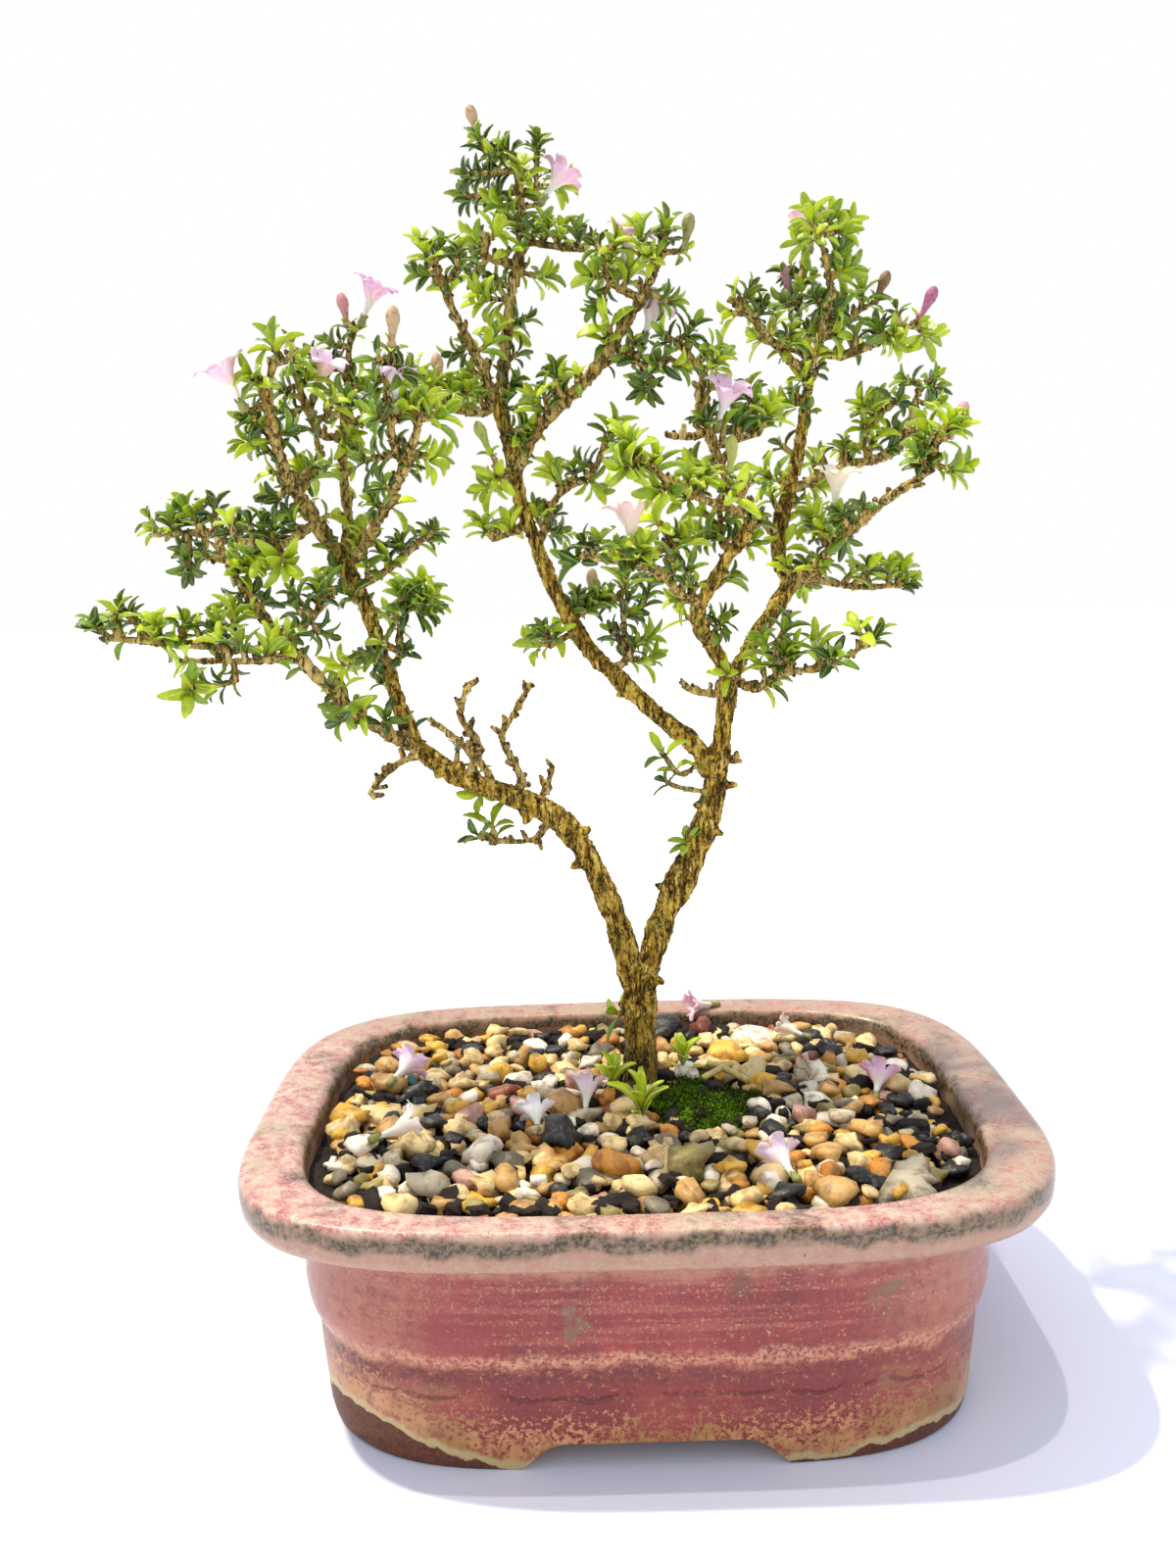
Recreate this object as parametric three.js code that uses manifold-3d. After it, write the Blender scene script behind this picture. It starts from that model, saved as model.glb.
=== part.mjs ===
// A small serissa bonsai in a glazed, oval-cornered stoneware pot.
// Millimetres. +Z is up, +X runs along the pot's front and +Y points away from the front.
// The pot's own centre is the origin while the pieces are made; the last lines move the whole
// plant so that the middle of its base stands at the origin.

import * as THREE from 'three';
import { mergeVertices } from 'three/addons/utils/BufferGeometryUtils.js';
import Module from 'manifold-3d';

const wasm = await Module();
wasm.setup();

// Driving dimensions of the pot
const RIM_HALF_LENGTH = 82.5;
const RIM_HALF_DEPTH = 60.6;
const OUTER_DEPTH_SHARE = 0.36;  // the outside narrows much less in depth than in length
const OPENING_HALF_LENGTH = 69.5;
const OPENING_HALF_DEPTH = 52.15;
const INNER_DEPTH_SHARE = 0.65;
const PLAN_ROUNDNESS = 4;        // exponent of the plan's superellipse
const PLAN_SIDES = 32;
const FLOOR_TOP = 11;
const UNDERSIDE = 6.2;
const ARCH_HEIGHT = 5.8;
const FRONT_ARCH_HALF = 25.5;
const SIDE_ARCH_HALF = 15;
const ARCH_SLOPE = 6;
const DRAIN_RADIUS = 6;
const DRAIN_OFFSET = 30;
const SCREEN = { half: 9, thickness: 0.8, hole: 4.6, pitch: 6.6 };
const GAP = 0.3;

// Driving dimensions of the planting surface
const SOIL_TOP = 44;
const GRAVEL_TOP = 46.6;
const PEBBLE_STEP = 6.6;         // a pebble stands on every third point of a lattice of this step
const MOSS_CENTRE = new THREE.Vector2(17, 2);
const MOSS_HALF = new THREE.Vector2(8, 13);

// Driving dimensions of the tree
const TREE_PLANE = 15;           // the trunk stands this far behind the pot's centre
const CROWN_DEPTH = 1.6;         // how much deeper the crown is than the distances written below
const EYE = new THREE.Vector3(-10, -278, 171);
const YOUNG_LEAF = { count: 3, length: 6.6, width: 2.5 };
const OLD_LEAF = { count: 3, length: 5.6, width: 2.1 };
const WHORL_RISE = 1.3;          // height of the whorl's middle; half of it is the blade's thickness
const TWIG_RADIUS = 0.55;
const FOOT_RADIUS = 0.42;        // of a leaf stalk where it leaves its twig
const TWIG_LEAN = 0.55;

const COLOURS = {
  glaze: 0xa2495a, soil: 0x2c221b, gravel: 0xb8a184, moss: 0x5c6b22, bark: 0x8a7440, leaf: 0x5f8a1c,
  petal: 0xe9bcd0, cream: 0xe6d7c8, screen: 0x2f3130, root: 0xb59a7a, withered: 0x9a7b2e,
};

// The tree's wood, as rows of [across, up, back, radius]: across and up as seen on the tree's plane,
// back as the distance behind it along the line of sight.
const TRUNK = [[1, 34, 0, 3.4], [1, 44, 0, 4.2], [1, 49, 0, 4.3], [1.2, 56, 0, 3.7], [1.2, 62.5, 0, 3.7],
  [1.2, 65.5, 0, 4.4], [1.4, 69, 0, 4.1], [1.4, 73, 0, 3.9], [1.2, 77, 0, 2.2]];
const LIMBS = [
  [[0.4, 68, 0, 2.6], [-2.2, 81, -1, 2.9], [-5, 90, -2, 2.8], [-8.6, 99, -3, 2.6], [-11.5, 104.5, -3.5, 2.7],
    [-15, 109, -4, 2.7], [-20, 113, -4.5, 2.5], [-31.5, 118, -5.5, 2.2], [-39, 121.2, -6, 2.1],
    [-47, 127, -6, 2.2]],
  [[-46.5, 126, -6, 1.9], [-49.5, 133, -5, 1.8], [-53, 145, -3, 1.7], [-57, 159, 0, 1.7], [-60, 166, 1, 1.9],
    [-62, 171, 2, 2]],
  [[1.8, 69, 0, 2.8], [5.2, 82, 1, 3], [7.3, 88, 2, 3.2], [13, 100, 4, 3.1], [17.5, 111, 4, 3],
    [19.6, 122.5, 3, 2.7], [20.7, 129, 2, 2.2], [22.4, 143, 0, 2.4]],
  [[18.5, 119.5, 2, 2], [14, 127, 2.5, 2.2], [8, 132, 4, 2.1], [-4, 143.5, 7, 2], [-9, 149, 8.5, 2],
    [-15.5, 161, 10.5, 1.8], [-22, 179, 12, 1.6], [-24, 190.5, 12, 1.7], [-26.7, 202, 12, 2]],
  [[22.2, 141, 0, 1.7], [19, 147.5, -3, 1.7], [16.3, 152, -6, 1.8], [15.8, 156.5, -8, 1.6],
    [21.2, 166, -9, 1.4], [25, 171.3, -10, 1.4], [28.7, 177, -11, 1.7]],
  [[22.8, 141.5, 0, 1.8], [27.3, 149, 3, 1.7], [35.2, 161.2, 6, 2], [33.5, 166, 7, 1.7], [33, 172, 8, 1.7],
    [36, 184, 10, 1.6], [38.2, 194, 10, 1.4], [39.6, 205, 10, 1.1]],
];

// What grows on a branch. Points are [across, up] or [across, up, back]; the first point of each is
// left out, because a part starts on the nearest wood of its branch.
const limb = (...rows) => ({ kind: 'limb', path: rows });
const stem = (...path) => ({ kind: 'stem', path });
const old = (...path) => ({ kind: 'old', path });
const young = (...path) => ({ kind: 'young', path });
const bare = (...path) => ({ kind: 'bare', path });
const bud = (facing, ...path) => ({ kind: 'bud', facing, path });
const bloom = (name, facing, ...path) => ({ kind: 'bloom', name, facing, path });

// What grows straight out of the thick wood
const TRUNK_GROWTH = [
  bare([-52, 123.8], [-57.8, 118.4], [-57.3, 116.5]), bare([-24.5, 120], [-28.3, 129], [-25.3, 135], [-21.6, 141]),
  bare([-18.6, 118.5], [-17.2, 122.6]), bare([14.3, 138.6], [12, 140]), bare([24.9, 122.6]),
  old([-60.3, 166.6], [-62.5, 167]), old([-11.7, 157.3]), young([13, 104.2]),
  old([11, 117], [8, 118.3]), young([11.3, 120], [7.4, 124.6]), young([-3.9, 64.4]), young([31, 184.3]),
  young([35.3, 199.5]), young([-34, 116.3]), stem([-22, 106, -4], [-30.5, 105.8, -5]), young([-31.4, 109.5]),
  old([-34.5, 107]), young([-63.3, 146]), old([-56.9, 148.2]), old([20.7, 154.2]), young([-21.5, 195.6]),
  stem([-28.6, 172.6, 8]), young([-25.2, 175]), young([-30.6, 175.4]),
  stem([-27, 185.8, 8], [-27.7, 189.4, 7]), young([-29.6, 183.6]), bud([-0.4, 1, 0], [-28.7, 190.8]),
  stem([-16.6, 149.6, 5]), old([-18, 152]), young([-20.5, 149.7]),
  stem([-8.4, 157.6, 13]), young([-6.3, 159.2]), old([-10.4, 159.3]), bud([0.1, 1, 0], [-8, 159]),
];

// Branches. The first part of each starts on the thick wood.
const BRANCHES = [
  ['branch_left_arm', limb([-46, 126.5, -6, 1.4], [-57, 132.7, -10, 1.2], [-66, 141, -13, 1.2],
    [-72.5, 148.8, -14, 1.2], [-77, 154, -12, 1.1], [-84.7, 165.5, -8, 0.9], [-88.6, 175.3, -2, 0.7]),
  stem([-95, 175.6, 1], [-102.3, 175.3, 3]), old([-91, 172.3], [-94.5, 171.3]), old([-95, 168.3]),
  old([-88.2, 180.8]), young([-92.2, 177.6], [-94, 180]), old([-97.3, 177.6]), old([-84.5, 176.2]),
  young([-83.7, 167.6]), young([-81.3, 168.8]), old([-86, 160.6]),
  young([-62.4, 136.8]), old([-64, 133.8])],
  ['spray_long_left', stem([-80, 150.4, -14], [-92, 151, -15], [-113.5, 153.3, -18]),
    old([-106.5, 155.3], [-109.5, 158.8]), old([-97, 155.3]), young([-103.2, 155]), young([-100, 151.6]),
    old([-89.3, 155]), young([-86, 157.5]), old([-116, 156])],
  ['spray_low_left', stem([-78, 147.8, -18], [-95.5, 147.9, -23]), old([-87, 143.5], [-92.5, 142.2]),
    young([-96.5, 141.5]), young([-79, 149.5])],
  ['spray_arm_fork', stem([-69, 156.8, -7], [-63.6, 162.2, -3]), old([-72.3, 161.3]), old([-67, 153.3]),
    young([-65.8, 163.6])],
  ['spray_left_stem', stem([-50.6, 147, -8], [-49.7, 154.5, -10], [-47.2, 158.6, -12]), young([-45.5, 162]),
    young([-43.6, 160.3]), old([-49.3, 161.3]), old([-43.9, 157.2])],
  ['spray_left_dark', stem([-53.4, 165.6, 0], [-46.6, 170.8, 3], [-44.3, 172.8, 4]), old([-41.8, 173.8]),
    old([-48.6, 171.3]), old([-52, 169.3])],
  ['branch_crown_left', limb([-61, 168.5, 2, 1.6], [-65.5, 175, 0, 1.7], [-71.5, 185.5, -6, 1.4],
    [-73.7, 191, -9, 1.2], [-75.7, 203, -14, 0.9]),
  stem([-75, 172.4, -9], [-84, 173.9, -12]), old([-76, 175.6]), old([-72.3, 177.2]), young([-74.3, 168.7]),
  old([-78.3, 176.6]), young([-79, 170.6]), old([-75.3, 182.5]), young([-79.6, 194]), old([-78.6, 198.6]),
  stem([-67.6, 186.3, 0], [-64.6, 193, 5]), young([-69, 187.3]), old([-71.8, 196]),
  stem([-74.4, 208.3, -16], [-72.2, 211.6, -17]), young([-78, 207.4]), young([-73.6, 214]),
  bloom('flower_far_left', [-0.45, 1, -0.3], [-80.3, 200.6])],
  ['branch_crown_middle', limb([-61.5, 168, 2, 1.4], [-59.8, 177, 4, 1.3], [-60.3, 189, 8, 1.1],
    [-59, 201, 11, 0.8], [-57.2, 216.3, 14, 0.5]),
  old([-61.8, 209], [-64.2, 210.3]), old([-60.8, 213.7]), young([-56.2, 206.3]), young([-58.8, 191.5]),
  bud([-0.15, 1, 0], [-57.7, 217.4]), bloom('flower_crown', [0.5, 1, -0.2], [-55, 217.3]),
  stem([-65, 196, 5], [-69, 207, 2], [-68.9, 212.3, 1]), old([-71.6, 204.8]), old([-71, 200]),
  young([-66.7, 207]), bloom('flower_inner_left', [0.75, 1, -0.9], [-66, 202.4]),
  stem([-55.4, 197.6, 8], [-63.3, 200.3, 0]), young([-59.4, 202.6]), old([-53.4, 200.3]), young([-55.8, 203.5])],
  ['branch_crown_right', limb([-60, 166.5, 1, 1.1], [-52.3, 179, -7, 1.1], [-46.3, 190, -13, 1],
    [-43.4, 198, -16, 0.7]),
  young([-46, 202]), young([-39.3, 198.6]), young([-42.3, 201.5]), young([-41, 189.6]),
  stem([-48.7, 191, -13], [-50.2, 202.5, -18], [-49, 211.3, -20]), old([-45.9, 208.4]), old([-51.8, 198.8]),
  old([-51.4, 206.6]), bud([0.1, 1, 0], [-48.7, 213]),
  bloom('flower_inner_right', [0.2, 1, -1.6], [-48.6, 199.6]), old([-55.3, 190]), old([-53.3, 180.5])],
  ['spray_knot', stem([-31, 199, 9], [-41.6, 201, 4]), young([-41.2, 204]), young([-36.5, 203.3]),
    young([-33.4, 204.3]), young([-44, 206.3]), bud([-0.1, 1, 0.1], [-38.7, 204.6])],
  ['branch_top_left', limb([-26.5, 200, 12, 1.4], [-30, 209, 10, 1.1], [-35.3, 220, 7, 0.8],
    [-38.8, 229, 4, 0.6]),
  old([-41, 227.3]), young([-40.8, 232]), old([-37.6, 232.6]), old([-34.8, 227], [-33.7, 231.6]),
  old([-34.8, 211.5]), young([-28.7, 213])],
  ['branch_crest', limb([-26.5, 200, 12, 1.5], [-23.8, 217, 14, 1.2], [-22.8, 224, 15, 1.3],
    [-20.2, 236, 17, 1.1], [-21.5, 250.3, 18, 0.6]),
  old([-21, 217.6]), old([-17.6, 243], [-16.6, 252.3]), old([-26.6, 250.3], [-28.3, 253]), bud([-0.25, 1, 0], [-28.8, 253.8]),
  old([-31.2, 246.7]), old([-27.2, 246.6]), old([-31.8, 242.5]), young([-24.4, 250.2]), young([-24.6, 240.6]),
  young([-12.3, 244.6]), bloom('flower_crest', [0.75, 1, 0.3], [-16.6, 240.6]),
  stem([-27.7, 230.6, 12], [-27.4, 234, 11]), old([-31, 226], [-32.3, 229]), young([-30.2, 233.6]),
  young([-25.3, 235.6]), young([-28.6, 222.4]), stem([-10, 231.8, 13], [-6.8, 231.7, 12]), young([-12.3, 234.6]),
  old([-8.6, 234.3]), young([-15.9, 236]), young([-16.3, 226.3])],
  ['spray_step', stem([-17.9, 173, 13], [-14.5, 181.3, 15], [-7, 186.2, 12], [-3.7, 193.6, 10]),
    old([-18.4, 178.3]), old([-15, 173.8]), young([-15.3, 186.6]), old([-8.9, 188.2]), young([-6.6, 183.6]),
    young([-1.9, 195.5])],
  ['branch_east_reach', limb([-23.2, 187, 12, 1.3], [-17.3, 196.5, 9, 1.3], [-8.3, 204.7, 6, 1.3],
    [-2, 212.5, 2, 1.2], [4, 221.5, -2, 0.9], [9, 230.6, -6, 0.6]),
  young([-18.3, 200.5]), old([-13.8, 203.5], [-14.3, 207.5]), stem([-2.2, 225, 1], [-3.2, 230.4, 0]),
  young([-6, 226.2]), old([-4.6, 220.6]), young([-1.2, 232.3]),
  bloom('flower_post', [0.35, 1, -0.3], [-0.6, 225.6]), old([9.6, 235]), bud([0.2, 1, 0], [13.2, 230.8]),
  young([5, 230], [4.2, 233.5]), young([1.8, 226.6]), old([9.8, 220.8]), stem([6, 207.3, -1], [10, 209.3, -4]),
  old([1.7, 209.8]), old([5, 203.3]), young([12.6, 207.8]),
  bloom('flower_east_low', [0.35, 1, 0.4], [4.3, 212.4])],
  ['branch_inner_rise', limb([28.3, 175.5, -11, 1], [21.5, 185, -9, 1], [16.4, 200.5, -6, 0.9],
    [17.2, 205.5, -5, 0.9], [11.6, 212.6, -7, 0.6]),
  old([9.3, 213.6]), old([14.3, 214.8]), young([19.8, 208.6]), bare([15.5, 193.3], [11.2, 193.2]),
  young([14.8, 186.3]), stem([28.6, 193.4, -4]), old([24.6, 195.6]), young([28, 198.6]), young([31.3, 198]),
  bloom('flower_inner_east', [0.3, 1, -0.5], [19.6, 194.2]), bud([0.05, 1, -0.2], [22.6, 185.6]),
  old([26.5, 202])],
  ['spray_reach', stem([24, 177.4, -14], [11, 182.7, -22], [3.3, 189.3, -25]), young([1, 192]),
    young([0.6, 187]), young([6.6, 187.6]), young([7.6, 181.8]), old([15.6, 182])],
  ['spray_cluster', stem([11.5, 160, -12], [6, 165, -18], [-9, 168.7, -24]), old([-11.5, 167.7]),
    old([-6.2, 170.6]), young([3, 169.3]), bloom('flower_pale', [-0.05, 1, 0.1], [1.4, 167.7]),
    stem([10.7, 167.6, -10], [7.6, 175.3, -8]), old([10.5, 172.6]), young([13.4, 171.3]), old([6.5, 168.9])],
  ['spray_cluster_mid', stem([20.8, 171, -4], [20.4, 177.6, -2]), young([17.3, 172]), young([22.6, 176])],
  ['spray_mid_rise', stem([-0.6, 146, 8], [-0.6, 151.6, 10], [-1.2, 160, 12]), old([3, 157], [4.7, 160.6]),
    young([3.8, 150.3]), old([0.4, 155.6]), young([0.2, 163.6]), young([3.8, 145.6]), old([-4.4, 159.3])],
  ['spray_low_right', stem([28, 138.7, -6], [34, 142, -9], [44.3, 143.2, -13], [52, 147.7, -16]),
    young([41.5, 147.7]), young([30, 148.3]), old([34.6, 145.6]), old([32.6, 147], [34.6, 152.3]),
    old([54.3, 149.6])],
  ['branch_east_low', limb([35, 159.8, 6, 1.2], [44.5, 168.6, 2, 1.2], [55, 178, -6, 1], [65.5, 185, -11, 0.8],
    [67, 190.7, -13, 0.5]),
  old([41.4, 172.6]), young([40.6, 175.6]), old([47.6, 170.6]), old([46.8, 174.3]),
  bloom('flower_east', [0.05, 1, -0.2], [45, 175.6]), young([65, 193.3]), young([69.3, 194.4]),
  young([71, 184.9]), old([63.6, 187]), bud([0.5, 1, 0], [69.6, 191.8])],
  ['spray_wire', stem([41, 162.4, 9], [50.5, 160.5, 11], [58.8, 160.6, 13]), young([57.2, 163.6]),
    young([59.9, 163.6]), old([61.4, 160.8])],
  ['branch_east_high', limb([35.8, 181.5, 10, 1.2], [47, 186, 15, 1.1], [58.5, 189.4, 19, 0.9],
    [62.3, 199.6, 21, 0.6], [63, 203.6, 22, 0.5]),
  old([60.7, 203.4]), old([66.3, 202.6]), young([66, 198.3]), young([62.6, 192]),
  stem([51.3, 192, 17], [56.7, 198.6, 16]), young([51.3, 198.6]), young([53.6, 198.8]), old([57.5, 193.6]),
  young([49.3, 190.2])],
  ['branch_right_crown', stem([34, 210, 7], [25.7, 218.8, 3], [22.6, 221, 2]), old([26.7, 222]),
    old([29.2, 218.6]), old([35.3, 213.5]),
  stem([41.3, 211, 9], [43.8, 222, 7], [41.8, 233, 6]), young([39.8, 236.3]),
    young([43.7, 236.3]), young([46.6, 234.3]), young([38, 231.9]), young([46.8, 225.9]), old([45.6, 229.3]),
    old([41.3, 220.3]),
  stem([37.2, 212, 13], [38, 228, 17]), old([34.8, 219.7]), young([37.8, 221.8]),
    old([35, 225.6]), bud([-0.15, 1, 0], [35.4, 220.6]), bloom('flower_upper_right', [0.15, 1, 0.6], [39.6, 230]),
  stem([47.3, 208.9, 9], [61.8, 215.2, 3]), old([54.6, 214]), young([56.8, 211.9]),
    young([64.4, 212.6]), bud([0.5, 1, 0], [62.8, 216]), stem([45, 214.6, 13], [50.5, 218.4, 16]),
    old([45.3, 218.6]), young([50.7, 221.8]), bud([0.45, 1, 0], [53.3, 219.6])],
];

// Fallen flowers: [name, across, back, turn in degrees, tilt in degrees, scale]
const FALLEN = [
  ['fallen_left', -58, 12, 60, 74, 0.95], ['fallen_front_left', -56, -21, 25, 80, 1],
  ['fallen_by_trunk', -12.5, -2.5, 80, 40, 0.9], ['fallen_middle', -22, -11, 100, 78, 0.85],
  ['fallen_on_rim', 15, 53, 60, 78, 0.95], ['fallen_back_right', 43, 36, 150, 80, 0.8],
  ['fallen_right', 45, 16, 200, 84, 0.8], ['fallen_star', 52, 2, 70, 66, 0.9],
  ['fallen_front', 29, -38, 110, 78, 0.95],
];

// Small green shoots that stand in the gravel: [name, across, back, leaf count, leaf length]
const SHOOTS = [['shoot_front', 0, -6, 5, 7.5], ['shoot_left', -6.2, 8, 4, 6], ['shoot_right', 10.8, 19, 4, 5.5]];

// Fine rootlets on the moss: rows of [across, back, height above the gravel]
const ROOTLETS = [
  [[17.5, 22, 2.2], [17.8, 18, 3.2], [19.5, 14.5, 3.9], [22.3, 11.8, 3.4], [25.4, 9.4, 2.4]],
  [[15, 9, 3.6], [18.5, 12, 4], [21.5, 16.5, 3.6], [24, 19.4, 2.2]],
];

// Small helpers

function seededRandom(seed) {
  let state = seed;
  return () => {
    state = (state + 0x6d2b79f5) | 0;
    let mixed = Math.imul(state ^ (state >>> 15), 1 | state);
    mixed = (mixed + Math.imul(mixed ^ (mixed >>> 7), 61 | mixed)) ^ mixed;
    return ((mixed ^ (mixed >>> 14)) >>> 0) / 4294967296;
  };
}

const random = seededRandom(41);
const between = (low, high) => low + (high - low) * random();

// A geometry with only its positions, its shared corners merged and its empty triangles dropped.
function weld(geometry) {
  geometry.deleteAttribute('normal');
  geometry.deleteAttribute('uv');
  const merged = mergeVertices(geometry, 1e-4);
  const corners = merged.index.array;
  const kept = [];
  for (let i = 0; i < corners.length; i += 3) {
    const [a, b, c] = [corners[i], corners[i + 1], corners[i + 2]];
    if (a !== b && b !== c && c !== a) kept.push(a, b, c);
  }
  merged.setIndex(kept);
  return merged;
}

function toSolid(geometry) {
  const welded = weld(geometry.clone());
  const vertProperties = new Float32Array(welded.attributes.position.array);
  const triVerts = new Uint32Array(welded.index.array);
  return new wasm.Manifold(new wasm.Mesh({ numProp: 3, vertProperties, triVerts }));
}

function toGeometry(solid) {
  const mesh = solid.getMesh();
  const geometry = new THREE.BufferGeometry();
  geometry.setAttribute('position', new THREE.BufferAttribute(new Float32Array(mesh.vertProperties), 3));
  geometry.setIndex(new THREE.BufferAttribute(new Uint32Array(mesh.triVerts), 1));
  return geometry;
}

const join = (solids) => solids.reduce((whole, solid) => whole.add(solid));

// The largest body of a solid, so that a loose scrap left by a cut is dropped.
function mainBody(solid) {
  return solid.decompose().reduce((best, piece) => (piece.volume() > best.volume() ? piece : best));
}

// A profile of [radius, height] rows turned about the upright axis.
function turned(profile, sides) {
  const geometry = new THREE.LatheGeometry(profile.map(([r, z]) => new THREE.Vector2(r, z)), sides);
  return geometry.rotateX(Math.PI / 2);
}

// Half the depth of the pot's plan, outside and inside, where half its length is known.
const outerHalfDepth = (halfLength) => RIM_HALF_DEPTH - OUTER_DEPTH_SHARE * (RIM_HALF_LENGTH - halfLength);
const innerHalfDepth = (halfLength) => (
  OPENING_HALF_DEPTH - INNER_DEPTH_SHARE * (OPENING_HALF_LENGTH - halfLength));

// A turned profile squared into the pot's plan. Each radius is the half length at that height.
function squaredLathe(profile, halfDepthOf = innerHalfDepth) {
  const geometry = turned(profile, PLAN_SIDES);
  const position = geometry.attributes.position;
  const power = 2 / PLAN_ROUNDNESS;
  const squared = (value) => Math.sign(value) * Math.abs(value) ** power;
  for (let i = 0; i < position.count; i += 1) {
    const halfLength = Math.hypot(position.getX(i), position.getY(i));
    if (halfLength > 1) {
      const halfDepth = halfDepthOf(halfLength);
      const angle = Math.atan2(position.getY(i), position.getX(i));
      const clean = (value) => (Math.abs(value) < 1e-6 ? 0 : value);
      position.setX(i, halfLength * squared(clean(Math.cos(angle))));
      position.setY(i, halfDepth * squared(clean(Math.sin(angle))));
    }
  }
  return toSolid(geometry);
}

// A straight bar of trapezoid section through the foot ring.
function archBar(bottomHalf, length) {
  const topHalf = bottomHalf - ARCH_SLOPE;
  const section = new THREE.Shape();
  section.moveTo(-bottomHalf - ARCH_SLOPE / ARCH_HEIGHT, -1);
  section.lineTo(bottomHalf + ARCH_SLOPE / ARCH_HEIGHT, -1);
  section.lineTo(topHalf, ARCH_HEIGHT);
  section.lineTo(-topHalf, ARCH_HEIGHT);
  const bar = new THREE.ExtrudeGeometry(section, { depth: length, bevelEnabled: false });
  bar.translate(0, 0, -length / 2);
  bar.rotateX(Math.PI / 2);
  return bar;
}

// A point seen at (across, up) on the tree's plane, moved back along the line of sight.
function place(across, up, back) {
  const point = new THREE.Vector3(across, TREE_PLANE, up);
  return point.sub(EYE).multiplyScalar(1 + (CROWN_DEPTH * back) / (TREE_PLANE - EYE.y)).add(EYE);
}

// A tube through points with a radius at each, bent from a straight cylinder.
function taperedTube(points, radii, sides) {
  const geometry = weld(new THREE.CylinderGeometry(1, 1, 1, sides, points.length - 1));
  const last = points.length - 1;
  const tangents = points.map((point, i) => points[Math.min(i + 1, last)].clone()
    .sub(points[Math.max(i - 1, 0)]).normalize());
  const firstSide = Math.abs(tangents[0].y) > 0.9 ? new THREE.Vector3(1, 0, 0) : new THREE.Vector3(0, 1, 0);
  let side = firstSide.clone();
  const frames = tangents.map((tangent) => {
    side = side.clone().addScaledVector(tangent, -side.dot(tangent)).normalize();
    return [side, tangent.clone().cross(side)];
  });
  const position = geometry.attributes.position;
  for (let i = 0; i < position.count; i += 1) {
    const ring = Math.round((0.5 + position.getY(i)) * last);
    const [across, along] = frames[ring];
    const corner = points[ring].clone()
      .addScaledVector(across, position.getX(i) * radii[ring])
      .addScaledVector(along, -position.getZ(i) * radii[ring]);
    position.setXYZ(i, corner.x, corner.y, corner.z);
  }
  return toSolid(geometry);
}

// A leafy tip, all one body: a stalk along `points` that opens into a whorl of narrow leaves.
function tuft(points, { count, length, width, turn }, margin = 0) {
  const last = points.length - 1;
  const centre = points[last];
  const axis = centre.clone().sub(points[last - 1]).normalize().add(new THREE.Vector3(0, 0, 0.5)).normalize();
  const helper = Math.abs(axis.z) > 0.9 ? new THREE.Vector3(1, 0, 0) : new THREE.Vector3(0, 0, 1);
  const right = axis.clone().cross(helper).normalize();
  const outward = (azimuth, along = axis, u = right) => u.clone().multiplyScalar(Math.cos(azimuth))
    .addScaledVector(along.clone().cross(u), Math.sin(azimuth));
  const corners = [];
  const faces = [];
  const corner = (point) => corners.push(point.x, point.y, point.z) / 3 - 1;
  const notchAzimuth = (i) => turn + (2 * Math.PI * i) / count;
  const rings = points.map((point, k) => {
    const along = points[Math.min(k + 1, last)].clone().sub(points[Math.max(k - 1, 0)]).normalize();
    const ringAxis = k === last ? axis : along;
    const u = right.clone().addScaledVector(ringAxis, -right.dot(ringAxis)).normalize();
    return Array.from({ length: count }, (_, i) => corner(point.clone()
      .addScaledVector(outward(notchAzimuth(i), ringAxis, u), (k === 0 ? FOOT_RADIUS : TWIG_RADIUS) + margin)));
  });
  const top = corner(centre.clone().addScaledVector(axis, WHORL_RISE + margin));
  for (let i = 0; i < count; i += 1) {
    const next = (i + 1) % count;
    const azimuth = notchAzimuth(i + 0.5);
    const rise = i % 2 === 0 ? 0.3 : 0.85;
    const reach = (share, lift) => centre.clone()
      .addScaledVector(outward(azimuth), share * (length + margin) * Math.cos(rise * lift))
      .addScaledVector(axis, share * (length + margin) * Math.sin(rise * lift));
    const across = outward(azimuth + Math.PI / 2).multiplyScalar(width / 2 + margin);
    const first = corner(reach(0.55, 1.1).sub(across));
    const tip = corner(reach(1, 0.75));
    const second = corner(reach(0.55, 1.1).add(across));
    const [here, there] = [rings[last][i], rings[last][next]];
    faces.push(top, here, first, top, first, tip, top, tip, second, top, second, there);
    faces.push(here, tip, first, here, there, tip, there, second, tip);
    for (let k = 0; k < last; k += 1) {
      const [a, b, c, d] = [rings[k][i], rings[k][next], rings[k + 1][next], rings[k + 1][i]];
      faces.push(a, b, c, a, c, d);
    }
    if (i > 1) faces.push(rings[0][0], rings[0][i], rings[0][i - 1]);
  }
  const geometry = new THREE.BufferGeometry();
  geometry.setAttribute('position', new THREE.BufferAttribute(new Float32Array(corners), 3));
  geometry.setIndex(faces);
  return toSolid(geometry);
}

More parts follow.
